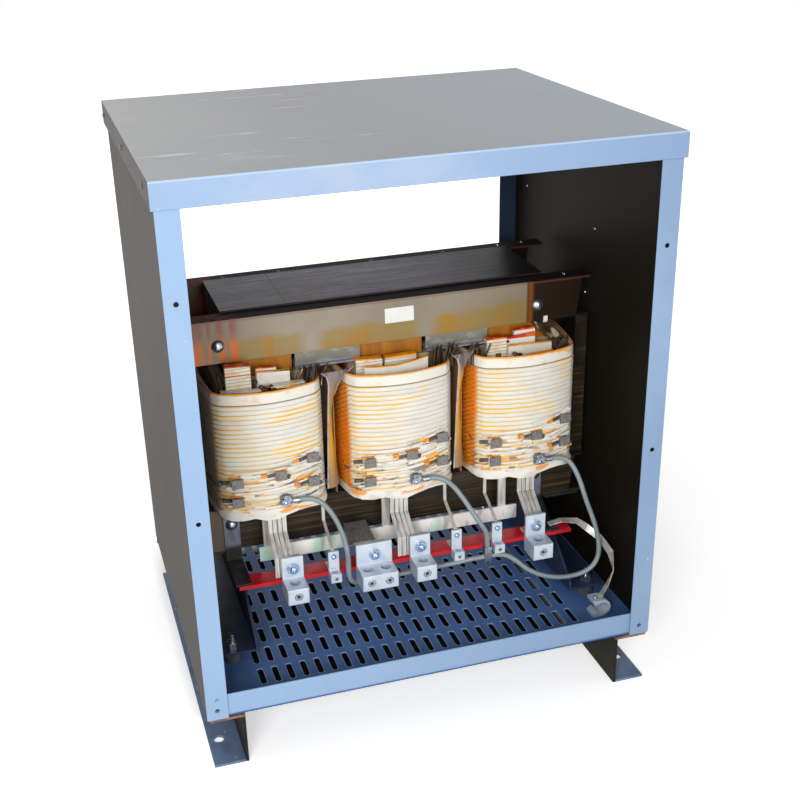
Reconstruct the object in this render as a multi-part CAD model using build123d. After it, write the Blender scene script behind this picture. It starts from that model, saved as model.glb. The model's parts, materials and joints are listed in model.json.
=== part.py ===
"""Dry-type three-phase power transformer in its open floor-standing cabinet.

The origin is on the floor under the middle of the cabinet, X to the right, Y to the back, Z up.
All lengths are in millimetres.
"""
from math import degrees, radians, tan
import os

from build123d import *

# Cabinet
cabinet_width = 711.0
cabinet_depth = 576.0
cabinet_height = 882.0
cabinet_front_y = -295.0
sheet = 2.0
lid_flange = 36.0
lid_side_overhang = 3.7
lid_front_overhang = 3.7
lid_back_overhang = 17.7
post_width = 32.0
post_hole_radius = 3.5
post_hole_inset = 16.0
post_hole_heights = (101.5, 412.5, 725.5)
panel_foot_lip = 30.0

# Floor pan and feet
foot_height = 86.0
foot_width = 52.0
foot_steel = 4.0
foot_side_inset = 4.0
foot_hole_radius = 8.0
foot_hole_inset = 20.5
foot_hole_end = 60.0
sill_height = 35.0
sill_setback = 1.0
slot_width = 9.0
slot_length = 40.0
slot_end_cut = 2.8
slot_columns = 24
slot_rows = 9
slot_margin_x = 93.4
slot_margin_y = 50.0
slot_offset_y = 8.0

# Laminated core
core_x = 10.0
core_y = 40.0
core_stack = 155.0
leg_width = 100.0
leg_pitch = 208.0
yoke_height = 100.0
yoke_bottom_z = 216.0
window_height = 204.0

# Clamping frame
clamp_steel = 4.0
clamp_reach = 30.5
clamp_half_length = 328.0
upper_clamp_z = (550.0, 617.0)
lower_clamp_z = (233.0, 305.0)
web_cut_top = 14.0
web_cut_bottom = 22.0
clamp_bolt_radius = 10.0
clamp_bolt_dome = 6.0
upper_bolt_x = (-259.5, 249.0)
upper_bolt_z = 577.0
lower_bolt_x = (-263.0, 250.0)
lower_bolt_z = 279.0
tie_bar_width = 20.0
tie_bar_steel = 6.0
support_steel = 4.0
support_gap = 5.0
support_flange = 60.0
support_front_setback = 120.0
support_back_setback = 43.0
support_slope_inset = 40.0
pad_height = 18.0
pad_radius = 14.0
mount_bolt_radius = 5.0
mount_bolt_inset = 38.0
mount_bolt_end = 18.0
mount_bolt_rise = 24.0

# Windings
coil_clearance = 2.0
coil_half_width = 82.0
coil_half_depth = 145.0
coil_bulge = 20.0
coil_side_bulge = 14.0
coil_corner = 13.0
outer_build = 14.0
outer_bore_corner = 6.0
outer_build_depth = 24.0
collar_height = 20.0
collar_wall = 3.0
collar_inset = 3.0
foot_band_height = 12.0
leg_clearance = 3.0
inner_build = 16.0
inner_corner = 12.0
stick_width = 9.0
stick_gap = 0.3
barrier_sheet = 1.5
barrier_half_depth = 128.0

# Insulating channels between the coils, under the top yoke
channel_drop = 22.0
channel_reach = 30.0
channel_wall = 2.5
channel_lip = 8.0

# Tap tabs, as places from the middle of each coil and up from its foot
tab_size = (18.0, 15.0)
tab_steel = 2.5
tab_stand = 5.0
tab_places = ((60.0, 82.0), (8.0, 64.0), (-58.0, 57.0), (60.0, 42.0), (13.0, 22.0), (-59.0, 25.0))
jumper_tab = 4

# Terminal board and its straps
board_x = (-271.0, 283.0)
board_y = (-152.0, -118.0)
board_top_z = 213.0
board_thickness = 6.0
strap_width = 25.0
strap_steel = 3.0

# Lugs: middle x and width
line_lugs = {
    "left_line_lug": (-187.0, 34.0),
    "double_lug": (-56.0, 58.0),
    "middle_line_lug": (20.0, 33.0),
    "right_line_lug": (217.0, 34.0),
}
lug_block = (40.0, 27.0)
lug_edge = 1.2
lug_tongue_rise = 37.0
lug_tongue_steel = 5.0
lug_wire_radius = 8.0
lug_screw_radius = 6.0
lug_screw_depth = 2.0
lug_bolt_radius = 9.0
small_lug_x = (-121.0, 82.0, 151.0)
small_lug_width = 17.0
small_block = (17.0, 15.0)
small_wire_radius = 5.0
small_tongue_rise = 33.0
bracket_steel = 3.0
bracket_reach = 26.0

# Conductors
strip_size = (6.5, 2.5)
strip_pitch = 7.6
strip_count = 4
lead_drop = 42.0
lead_rise = 34.0
secondary_x = (-198.0, 0.0, 217.0)
neutral_x = (-211.0, -16.0, 184.0)
neutral_bar_x = (-226.0, 209.0)
neutral_bar_z = (218.0, 243.0)
neutral_bar_y = -95.0
neutral_bar_steel = 3.0
thin_strip = 5.0
thin_lead_inset = 6.0
neutral_link_x = (-88.0, -52.0)
neutral_link_rise = 19.0
star_block = (12.0, 12.0, 26.0)
star_x = 133.0
star_overlap = 5.0

# Jumper cables, with their routes from the tabs to the star point as chosen points
jumper_radius = 4.0
ring_radius = 7.5
ring_steel = 2.0
ring_bolt_radius = 5.0
ring_bolt_height = 5.0
barrel_radius = 4.6
barrel_start = 9.5
jumper_start = 19.0
left_jumper_route = [
    (-166.0, -136.0, 340.0),
    (-150.0, -136.0, 340.0),
    (-132.0, -146.0, 334.0),
    (-117.0, -159.0, 312.0),
    (-107.0, -168.0, 282.0),
    (-102.0, -172.0, 250.0),
    (-102.0, -170.0, 219.0),
    (-97.0, -160.0, 193.0),
    (-78.0, -145.0, 179.0),
    (-44.0, -141.0, 177.0),
    (-4.0, -143.0, 180.0),
    (36.0, -148.0, 184.0),
    (68.0, -154.0, 188.0),
    (96.0, -157.0, 192.0),
    (112.0, -158.0, 193.0),
    (127.0, -158.0, 193.0),
]
middle_jumper_route = [
    (42.0, -136.0, 340.0),
    (57.0, -136.0, 340.0),
    (75.0, -146.0, 331.0),
    (91.0, -158.0, 308.0),
    (104.0, -166.0, 284.0),
    (117.0, -168.0, 262.0),
    (128.0, -163.0, 244.0),
    (133.0, -158.0, 228.0),
    (133.0, -158.0, 212.0),
]
right_jumper_route = [
    (250.0, -136.0, 340.0),
    (267.0, -136.0, 340.0),
    (283.0, -141.0, 330.0),
    (294.0, -152.0, 303.0),
    (303.0, -161.0, 266.0),
    (315.0, -168.0, 231.0),
    (323.0, -174.0, 197.0),
    (322.0, -179.0, 166.0),
    (306.0, -181.0, 146.0),
    (275.0, -179.0, 138.0),
    (239.0, -175.0, 141.0),
    (204.0, -169.0, 156.0),
    (179.0, -161.5, 181.0),
    (159.0, -158.0, 193.0),
    (139.0, -158.0, 193.0),
]

# Ground strap and its lug on the floor
ground_strap_width = 12.0
ground_strap_steel = 1.6
ground_lug_inset = 51.5
ground_lug_ends = (59.0, 83.0)
ground_lug_radius = 15.0
ground_lug_wall = 5.0
ground_lug_tongue = 16.0
ground_lug_screw_radius = 4.0

# Blank data plate on the upper front clamp
label_x = (-2.0, 44.0)
label_z = (579.0, 602.5)
label_thickness = 0.8

# Derived places
hx = cabinet_width / 2
front_y = cabinet_front_y
back_y = front_y + cabinet_depth
top_z = cabinet_height
pan_z = foot_height + sheet
floor_z = pan_z + sheet
leg_z = yoke_bottom_z + yoke_height
upper_yoke_z = leg_z + window_height
core_front = core_y - core_stack / 2
core_back = core_y + core_stack / 2
clamp_front = core_front - clamp_reach
clamp_back = core_back + clamp_reach
foot_hole_x = hx - foot_hole_inset
foot_hole_front_y = front_y + foot_hole_end
foot_hole_back_y = back_y - foot_hole_end
slot_pitch_x = (cabinet_width - 2 * slot_margin_x - slot_width) / (slot_columns - 1)
slot_pitch_y = (cabinet_depth - 2 * slot_margin_y - slot_length) / (slot_rows - 1)
slot_middle_y = (front_y + back_y) / 2 + slot_offset_y
support_front_y = front_y + support_front_setback
support_back_y = back_y - support_back_setback
ground_lug_x = hx - ground_lug_inset
ground_lug_y = (front_y + ground_lug_ends[0], front_y + ground_lug_ends[1])
coil_foot_z = leg_z + coil_clearance
coil_top_z = upper_yoke_z - coil_clearance
leg_xs = tuple(core_x + leg_pitch * k for k in (-1, 0, 1))
yoke_half_length = leg_pitch + leg_width / 2
coil_front_y = core_y - coil_half_depth - coil_bulge
winding_inner_y = core_y - coil_half_depth + outer_build_depth
board_front_y = board_y[0]
star_z = board_top_z - board_thickness + star_overlap - star_block[2]

nodes = {}


def block(x0, x1, y0, y1, z0, z1):
    """A square-edged solid between two corners."""
    return Pos((x0 + x1) / 2, (y0 + y1) / 2, (z0 + z1) / 2) * Box(abs(x1 - x0), abs(y1 - y0), abs(z1 - z0))


def rod(x, y, z0, z1, r):
    """An upright round bar."""
    return Pos(x, y, (z0 + z1) / 2) * Cylinder(r, abs(z1 - z0))


def rod_y(x, z, y0, y1, r):
    """A round bar that runs front to back."""
    return Pos(x, (y0 + y1) / 2, z) * Rot(90, 0, 0) * Cylinder(r, abs(y1 - y0))


def keep(name, *shapes):
    """Puts solids under the name of their node."""
    nodes[name] = shapes[0] if len(shapes) == 1 else Compound(children=list(shapes))


def make_lid():
    """A pressed lid with flanges turned down over the panels, and soft bends."""
    x = hx + lid_side_overhang
    y0 = front_y - lid_front_overhang
    y1 = back_y + lid_back_overhang
    tray = block(-x, x, y0, y1, top_z - lid_flange, top_z)
    bends = tray.faces().sort_by(Axis.Z)[-1].edges()
    tray = fillet(bends, sheet)
    hollow = block(-x + sheet, x - sheet, y0 + sheet, y1 - sheet, top_z - lid_flange - 1, top_z - sheet)
    keep("lid", tray - hollow)


def make_panel(name, side):
    """A side panel folded from one sheet: its front and back flanges are the corner posts."""
    z0 = foot_height
    z1 = top_z - sheet
    outer = side * hx
    inner = side * (hx - sheet)
    post = side * (hx - post_width)
    lip = side * (hx - panel_foot_lip)
    panel = block(outer, inner, front_y, back_y, z0, z1)
    panel += block(inner, post, front_y, front_y + sheet, z0, z1)
    panel += block(inner, post, back_y - sheet, back_y, z0, z1)
    panel += block(inner, lip, front_y + sheet, back_y - sheet, z0, z0 + sheet)
    hole_x = side * (hx - post_hole_inset)
    for z in post_hole_heights:
        panel -= rod_y(hole_x, z, front_y - 1, front_y + sheet + 1, post_hole_radius)
        panel -= rod_y(hole_x, z, back_y - sheet - 1, back_y + 1, post_hole_radius)
    keep(name, panel)


def make_floor():
    """The bottom plate, pierced by rows of air slots."""
    x = hx - sheet
    plate = Rectangle(2 * x, cabinet_depth - 2 * sheet)
    plate = Pos(0, (front_y + back_y) / 2) * plate
    xs = [(k - (slot_columns - 1) / 2) * slot_pitch_x for k in range(slot_columns)]
    ys = [slot_middle_y + (k - (slot_rows - 1) / 2) * slot_pitch_y for k in range(slot_rows)]
    w = slot_width / 2
    d = slot_length / 2
    c = slot_end_cut
    ends = [(w, c - d), (w, d - c), (w - c, d), (c - w, d), (-w, d - c), (-w, c - d), (c - w, -d), (w - c, -d)]
    slot = make_face(Polyline(*ends, close=True))
    slots = [Pos(a, b) * slot for a in xs for b in ys]
    plate = plate - slots
    keep("floor_plate", extrude(Pos(0, 0, pan_z) * plate, sheet))


def make_sill(name, y_outer, inward):
    """An upturned edge of the pan, a folded angle that closes the foot of the front or back."""
    x = hx - sheet
    y = y_outer + inward * (sheet + sill_setback)
    upright = block(-x, x, y, y + inward * sheet, floor_z, floor_z + sill_height)
    ledge = block(-x, x, y, y + inward * post_width / 2, floor_z, floor_z + sheet)
    body = upright + ledge
    for side in (-1, 1):
        hole_x = side * (hx - post_hole_inset)
        body -= rod_y(hole_x, post_hole_heights[0], y - inward, y + inward * (sheet + 1), post_hole_radius)
    keep(name, body)


def make_foot(name, side):
    """A channel that runs front to back with its web inboard and both flanges outward."""
    out = side * (hx - foot_side_inset)
    inb = side * (hx - foot_side_inset - foot_width)
    web = block(inb, inb + side * foot_steel, front_y, back_y, 0, foot_height)
    top = block(inb, out, front_y, back_y, foot_height - foot_steel, foot_height)
    sole = block(inb, out, front_y, back_y, 0, foot_steel)
    for y in (foot_hole_front_y, foot_hole_back_y):
        sole -= rod(side * foot_hole_x, y, -1, foot_steel + 1, foot_hole_radius)
    keep(name, web + top + sole)


def make_core():
    """Two yokes and three legs of stacked sheet steel, which meet face to face."""
    x0 = core_x - yoke_half_length
    x1 = core_x + yoke_half_length
    keep("bottom_yoke", block(x0, x1, core_front, core_back, yoke_bottom_z, leg_z))
    keep("top_yoke", block(x0, x1, core_front, core_back, upper_yoke_z, upper_yoke_z + yoke_height))
    half = leg_width / 2
    keep("core_legs", *[block(x - half, x + half, core_front, core_back, leg_z, upper_yoke_z) for x in leg_xs])


def make_clamp(name, y_core, outward, z_span):
    """A channel with its web away from the core, cut back and sloped at both ends of the web."""
    z0, z1 = z_span
    x0 = core_x - clamp_half_length
    x1 = core_x + clamp_half_length
    y_web = y_core + outward * clamp_reach
    body = block(x0, x1, y_core, y_web, z0, z0 + clamp_steel)
    body += block(x0, x1, y_core, y_web, z1 - clamp_steel, z1)
    ends = [
        (x0 + web_cut_top, z1 - clamp_steel),
        (x1 - web_cut_top, z1 - clamp_steel),
        (x1 - web_cut_bottom, z0 + clamp_steel),
        (x0 + web_cut_bottom, z0 + clamp_steel),
    ]
    web = make_face(Polyline(*[(a, 0, b) for a, b in ends], close=True))
    web = extrude(web, clamp_steel, dir=(0, 1, 0))
    y_low = min(y_web, y_web - outward * clamp_steel)
    keep(name, body + Pos(0, y_low, 0) * web)


def bolt_head(x, z, y_face, outward):
    """A carriage bolt's domed head on the face of a clamp."""
    ball = (clamp_bolt_radius**2 + clamp_bolt_dome**2) / (2 * clamp_bolt_dome)
    dome = Pos(x, y_face - outward * (ball - clamp_bolt_dome), z) * Sphere(ball)
    y_far = y_face + outward * 2 * clamp_bolt_dome
    keep_zone = block(x - ball, x + ball, y_face, y_far, z - ball, z + ball)
    return dome & keep_zone


def make_clamp_bolts():
    """Domed heads in front and hexagon nuts behind, at both ends of each clamp."""
    pieces = []
    for xs, z in ((upper_bolt_x, upper_bolt_z), (lower_bolt_x, lower_bolt_z)):
        for x in xs:
            face = clamp_front - (strap_steel if z == lower_bolt_z else 0)
            pieces.append(bolt_head(x, z, face, -1))
            nut = extrude(RegularPolygon(clamp_bolt_radius, 6), 2 * clamp_bolt_dome)
            pieces.append(Pos(x, clamp_back, z) * Rot(-90, 0, 0) * nut)
    keep("clamp_bolts", *pieces)


def make_tie_bars():
    """Flat bars that hold the upper and lower clamps apart, just outside the outer coils."""
    y0 = clamp_front + clamp_steel
    bars = []
    for side in (-1, 1):
        x = core_x + side * clamp_half_length
        x_in = x - side * tie_bar_width
        for y in (y0, clamp_back - clamp_steel - tie_bar_steel):
            bars.append(block(x_in, x, y, y + tie_bar_steel, lower_clamp_z[1], upper_clamp_z[0]))
    keep("tie_bars", *bars)


def make_support(name, side):
    """A folded stand under the ends of the lower clamps, with its foot flange on the pads."""
    x_web = core_x + side * (yoke_half_length + support_gap)
    x_out = x_web + side * support_flange
    z0 = floor_z + pad_height
    z1 = lower_clamp_z[0]
    y_front = support_front_y
    y_back = support_back_y
    inset = support_slope_inset
    corners = [(y_front, z0), (y_back, z0), (y_back, z0 + 4 * support_steel), (clamp_back - inset, z1)]
    corners += [(clamp_front + inset, z1), (y_front, z0 + 4 * support_steel)]
    web = make_face(Polyline(*[(0, a, b) for a, b in corners], close=True))
    web = extrude(web, support_steel, dir=(side, 0, 0))
    body = Pos(x_web, 0, 0) * web
    body += block(x_web, x_out, y_front, y_back, z0, z0 + support_steel)
    body += block(x_web, x_out, clamp_front, clamp_back, z1 - support_steel, z1)
    keep(name, body)


def mount_places():
    """The four places where the stands are bolted down through their pads."""
    ys = (support_front_y + mount_bolt_end, support_back_y - mount_bolt_end)
    xs = [core_x + side * (yoke_half_length + support_gap + mount_bolt_inset) for side in (-1, 1)]
    return [(x, y) for x in xs for y in ys]


def make_mounts():
    """Rubber pads on the floor plate, and the bolt and nut on top of each stand's flange."""
    top = floor_z + pad_height + support_steel
    keep("vibration_pads", *[rod(x, y, floor_z, floor_z + pad_height, pad_radius) for x, y in mount_places()])
    bolts = []
    for x, y in mount_places():
        nut = Pos(x, y, top) * extrude(RegularPolygon(2 * mount_bolt_radius, 6), 2 * mount_bolt_radius)
        bolts.append(nut + rod(x, y, top, top + mount_bolt_rise, mount_bolt_radius))
    keep("mount_bolts", *bolts)


def coil_plan(half_width, half_depth, corner):
    """The outline of a winding seen from above, with all four sides bowed outwards."""
    w, d = half_width, half_depth
    front = d + coil_bulge
    side = w + coil_side_bulge
    edges = [
        ThreePointArc((-w, d), (-side, 0), (-w, -d)),
        ThreePointArc((-w, -d), (0, -front), (w, -d)),
        ThreePointArc((w, -d), (side, 0), (w, d)),
        ThreePointArc((w, d), (0, front), (-w, d)),
    ]
    plan = make_face(edges)
    return fillet(plan.vertices(), corner)


def coil_wall(x, outer, bore, z0, z1):
    """A closed wall between two outlines, each (half width, half depth, corner)."""
    ring = coil_plan(*outer) - coil_plan(*bore)
    return extrude(Pos(x, core_y, z0) * ring, z1 - z0)


def make_coil(name, x):
    """The outer winding, with its paper collar on top."""
    outer = (coil_half_width, coil_half_depth, coil_corner)
    bore = (coil_half_width - outer_build, coil_half_depth - outer_build_depth, outer_bore_corner)
    collar = tuple(v - collar_inset for v in outer)
    collar_bore = tuple(v - collar_wall for v in collar)
    z_turns = coil_foot_z
    z_collar = coil_top_z - collar_height
    winding = coil_wall(x, outer, bore, z_turns, z_collar)
    winding += coil_wall(x, collar, collar_bore, z_collar, coil_top_z)
    keep(name + "_outer_winding", winding)


def inner_sizes():
    """Half width and half depth of the inner winding, inside and outside."""
    a = leg_width / 2 + leg_clearance
    b = core_stack / 2 + leg_clearance
    return a, b, a + inner_build, b + inner_build


def make_inner_windings():
    """The inner windings close round the core legs."""
    a, b, c, d = inner_sizes()
    rings = []
    for x in leg_xs:
        plan = RectangleRounded(2 * c, 2 * d, inner_corner) - Rectangle(2 * a, 2 * b)
        rings.append(extrude(Pos(x, core_y, coil_foot_z) * plan, coil_top_z - coil_foot_z))
    keep("inner_windings", *rings)


def make_duct_sticks():
    """Upright sticks that hold the air duct open between the two windings, front and back."""
    a, b, c, d = inner_sizes()
    gap = coil_half_depth - outer_build_depth - d
    sticks = []
    for x in leg_xs:
        for side in (-1, 1):
            for k in (-1, 0, 1):
                reach = d + gap - stick_gap + (1 if k == 0 else 0.5) * coil_bulge / 2
                y0 = core_y + side * d
                y1 = core_y + side * reach
                cx = x + k * coil_half_width / 2
                z1 = coil_top_z - 2 * collar_wall
                sticks.append(block(cx - stick_width / 2, cx + stick_width / 2, y0, y1, coil_foot_z, z1))
    keep("duct_sticks", *sticks)


def make_barriers():
    """Thin insulating sheets that stand between neighbouring coils."""
    sheets = []
    for k in (0, 1):
        x = (leg_xs[k] + leg_xs[k + 1]) / 2
        y0 = core_y - barrier_half_depth
        y1 = core_y + barrier_half_depth
        sheets.append(block(x - barrier_sheet / 2, x + barrier_sheet / 2, y0, y1, leg_z, upper_yoke_z))
    keep("phase_barriers", *sheets)


def make_end_blocks():
    """Insulating blocks that wedge the inner windings under the upper clamps."""
    blocks = []
    a, b, c, d = inner_sizes()
    for x in leg_xs:
        for side in (-1, 1):
            y0 = core_y + side * (core_stack / 2)
            y1 = y0 + side * (d - core_stack / 2)
            blocks.append(block(x - leg_width / 2, x + leg_width / 2, y0, y1, coil_top_z, upper_clamp_z[0]))
    keep("end_blocks", *blocks)


def make_yoke_channels():
    """Insulating channels under the top yoke in both windows, with a lip at their lower front edge."""
    channels = []
    z1 = upper_clamp_z[0]
    z0 = z1 - channel_drop
    half = leg_pitch / 2 - leg_width / 2 - leg_clearance
    for k in (0, 1):
        x = (leg_xs[k] + leg_xs[k + 1]) / 2
        for y_core, out in ((core_front, -1), (core_back, 1)):
            y_web = y_core + out * channel_reach
            body = block(x - half, x + half, y_web, y_web - out * channel_wall, z0, z1)
            body += block(x - half, x + half, y_core, y_web + out * channel_lip, z0, z0 + channel_wall)
            channels.append(body)
    keep("yoke_channels", *channels)


def coil_face_y(offset):
    """How far forward the bowed front of a coil stands at a sideways offset from its middle."""
    rise = coil_bulge
    chord = coil_half_width
    r = (chord**2 + rise**2) / (2 * rise)
    centre = coil_front_y + r
    return centre - (r**2 - offset**2) ** 0.5


def make_tabs():
    """The bare ends of the tapped turns: a short neck out of the winding and a square flag."""
    w, h = tab_size
    tabs = []
    for x in leg_xs:
        for dx, dz in tab_places:
            face = min(coil_face_y(dx - w / 2), coil_face_y(dx + w / 2), coil_face_y(dx))
            near = min(coil_face_y(dx - w / 4), coil_face_y(dx + w / 4))
            z = coil_foot_z + dz
            y0 = face - tab_stand
            flag = block(x + dx - w / 2, x + dx + w / 2, y0 - tab_steel, y0, z - h / 2, z + h / 2)
            neck = block(x + dx - w / 4, x + dx + w / 4, y0, near, z + h / 2 - tab_steel, z + h / 2)
            tabs.append(flag + neck)
    keep("tap_tabs", *tabs)


def make_board():
    """The red insulating board and the two straps that carry it from the lower clamp."""
    z0 = board_top_z - board_thickness
    keep("terminal_board", block(*board_x, *board_y, z0, board_top_z))
    straps = []
    for x in lower_bolt_x:
        a = x - strap_width / 2
        b = x + strap_width / 2
        upright = block(a, b, clamp_front - strap_steel, clamp_front, board_top_z, lower_bolt_z + strap_width / 2)
        arm = block(a, b, board_front_y + 2, clamp_front, board_top_z, board_top_z + strap_steel)
        straps.append(upright + arm)
    keep("board_straps", *straps)


def make_lug(name, x, width):
    """A mechanical lug: a tongue bolted to its bracket, and a block with wire holes and screws."""
    depth, height = lug_block
    y0 = board_front_y - depth
    z_top = board_top_z + bracket_steel
    body = block(x - width / 2, x + width / 2, y0, board_front_y, z_top - height, z_top)
    front = body.faces().sort_by(Axis.Y)[0].edges()
    body = chamfer(front, lug_edge)
    tongue_back = board_front_y
    tongue = block(
        x - width / 2,
        x + width / 2,
        tongue_back - lug_tongue_steel,
        tongue_back,
        z_top,
        z_top + lug_tongue_rise,
    )
    body += tongue
    ways = 2 if name == "double_lug" else 1
    pitch = width / ways
    for k in range(ways):
        cx = x + (k - (ways - 1) / 2) * pitch
        cy = y0 + depth * 0.52
        body -= rod(cx, cy, z_top - height - 1, z_top + 1, lug_wire_radius)
        cz = z_top - height / 2
        body -= rod_y(cx, cz, y0 - 1, y0 + lug_screw_depth, lug_screw_radius)
    body += rod_y(x, z_top + lug_tongue_rise / 2, tongue_back - 2 * lug_tongue_steel, tongue_back, lug_bolt_radius)
    keep(name, body)


def make_small_lugs():
    """Three small lugs of the same kind for the thin leads."""
    depth, height = small_block
    lugs = []
    z_top = board_top_z + bracket_steel
    for x in small_lug_x:
        a = x - small_lug_width / 2
        b = x + small_lug_width / 2
        body = block(a, b, board_front_y - depth, board_front_y, z_top - height, z_top)
        body += block(a, b, board_front_y - bracket_steel, board_front_y, z_top, z_top + small_tongue_rise)
        body -= rod(x, board_front_y - depth / 2, z_top - height - 1, z_top + 1, small_wire_radius)
        lugs.append(body)
    keep("small_lugs", *lugs)


def make_brackets():
    """Bent plates that stand on the board behind each lug's tongue."""
    spans = [(x, width * 0.8, lug_tongue_rise) for x, width in line_lugs.values()]
    spans += [(x, small_lug_width * 0.9, small_tongue_rise) for x in small_lug_x]
    pieces = []
    z0 = board_top_z
    for x, width, rise in spans:
        a = x - width / 2
        b = x + width / 2
        plate = block(a, b, board_front_y, board_front_y + bracket_steel, z0, z0 + bracket_steel + rise)
        ledge = block(a, b, board_front_y, board_front_y + bracket_reach, z0, z0 + bracket_steel)
        pieces.append(plate + ledge)
    keep("lug_brackets", *pieces)


def strip(x, width, thickness, profile):
    """A flat conductor bent along a side view of (y, z) points, flush with the points in front."""
    outline = [(0, y, z) for y, z in profile] + [(0, y + thickness, z) for y, z in reversed(profile)]
    face = make_face(Polyline(*outline, close=True))
    return Pos(x - width / 2, 0, 0) * extrude(face, width, dir=(1, 0, 0))


def make_leads():
    """Bundles of flat aluminium strip from the feet of the coils to the brackets and the bar."""
    width, thick = strip_size
    y_top = coil_front_y + outer_build_depth / 2
    y_low = board_front_y + bracket_steel
    z_low = board_top_z + bracket_steel
    run = [(y_top, coil_foot_z), (y_top, coil_foot_z - lead_drop), (y_low, z_low + lead_rise), (y_low, z_low)]
    bundles = []
    for x in secondary_x:
        for k in range(strip_count):
            cx = x + (k - (strip_count - 1) / 2) * strip_pitch
            bundles.append(strip(cx, width, thick, run))
    keep("secondary_leads", *bundles)
    y_bar = neutral_bar_y + neutral_bar_steel
    drops = []
    for x in neutral_x:
        drops.append(block(x - width, x + width, y_bar, y_bar + 2 * thick, neutral_bar_z[0] + 2, coil_foot_z))
    keep("neutral_leads", *drops)
    thin = []
    y_thin = core_y - coil_half_depth + thin_lead_inset
    thin_run = [(y_thin, coil_foot_z), (y_thin, coil_foot_z - lead_drop), *run[2:]]
    for x in small_lug_x:
        thin.append(strip(x, thin_strip, thick, thin_run))
    keep("primary_leads", *thin)
    keep("neutral_bar", block(*neutral_bar_x, neutral_bar_y, y_bar, *neutral_bar_z))


def corner_radii(points):
    """Each corner's arc, as large as its two runs allow."""
    radii = []
    for a, b, c in zip(points, points[1:], points[2:]):
        u = Vector(*b) - Vector(*a)
        v = Vector(*c) - Vector(*b)
        turn = u.get_angle(v)
        radii.append(0.45 * min(u.length, v.length) / tan(radians(turn / 2)))
    return radii


def cord_tube(name, points, radius):
    """A cord's tube: straight runs joined by tangent arcs."""
    radii = corner_radii(points)
    path = FilletPolyline(*points, radius=radii)
    section = Plane(origin=path @ 0, z_dir=path % 0) * Circle(radius)
    tube = sweep(section, path=path)
    expected = 3.14159265 * radius**2 * path.length
    print(name, "length", round(path.length, 1), "volume ratio", round(tube.volume / expected, 4))
    print("  radii", [round(r, 1) for r in radii])
    keep(name, tube)


def make_star_point():
    """The small block on the board's front edge where the three jumpers meet."""
    w, d, h = star_block
    keep("star_point", block(star_x - w / 2, star_x + w / 2, board_front_y - d, board_front_y, star_z, star_z + h))


def make_jumpers():
    """Three grey cables, each with a ring bolted on its tab and a barrel that grips the cable."""
    dx, dz = tab_places[jumper_tab]
    rings = []
    for x in leg_xs:
        w = tab_size[0]
        face = min(coil_face_y(dx - w / 2), coil_face_y(dx + w / 2), coil_face_y(dx))
        y_flag = face - tab_stand - tab_steel
        z = coil_foot_z + dz
        ring = rod_y(x + dx, z, y_flag - ring_steel, y_flag, ring_radius)
        neck_x = x + dx + barrel_start + ring_steel
        ring += block(x + dx, neck_x, y_flag - ring_steel, y_flag, z - barrel_radius / 2, z + barrel_radius / 2)
        head = rod_y(x + dx, z, y_flag - ring_steel - ring_bolt_height, y_flag - ring_steel, ring_bolt_radius)
        y_mid = left_jumper_route[0][1]
        barrel_length = jumper_start - barrel_start
        start = x + dx + barrel_start
        barrel = Pos(start + barrel_length / 2, y_mid, z) * Rot(0, 90, 0) * Cylinder(barrel_radius, barrel_length)
        rings.append(ring + head + barrel)
    keep("jumper_rings", *rings)
    cord_tube("left_jumper", left_jumper_route, jumper_radius)
    cord_tube("middle_jumper", middle_jumper_route, jumper_radius)
    cord_tube("right_jumper", right_jumper_route, jumper_radius)


def make_neutral_link():
    """The bent plate from the neutral bar over to the top of the double lug's bracket."""
    x0, x1 = neutral_link_x
    steel = neutral_bar_steel
    y_bar = neutral_bar_y
    z_low = neutral_bar_z[0] + steel
    z_high = neutral_bar_z[1] + neutral_link_rise
    z_end = board_top_z + bracket_steel + lug_tongue_rise
    side = [(y_bar, z_low), (y_bar, z_high), (y_bar - steel, z_high), (board_front_y, z_end + steel)]
    side += [(board_front_y, z_end), (y_bar - steel, z_high - steel), (y_bar - steel, z_low)]
    face = make_face(Polyline(*[(0, y, z) for y, z in side], close=True))
    keep("neutral_link", Pos(x0, 0, 0) * extrude(face, x1 - x0, dir=(1, 0, 0)))


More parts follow.
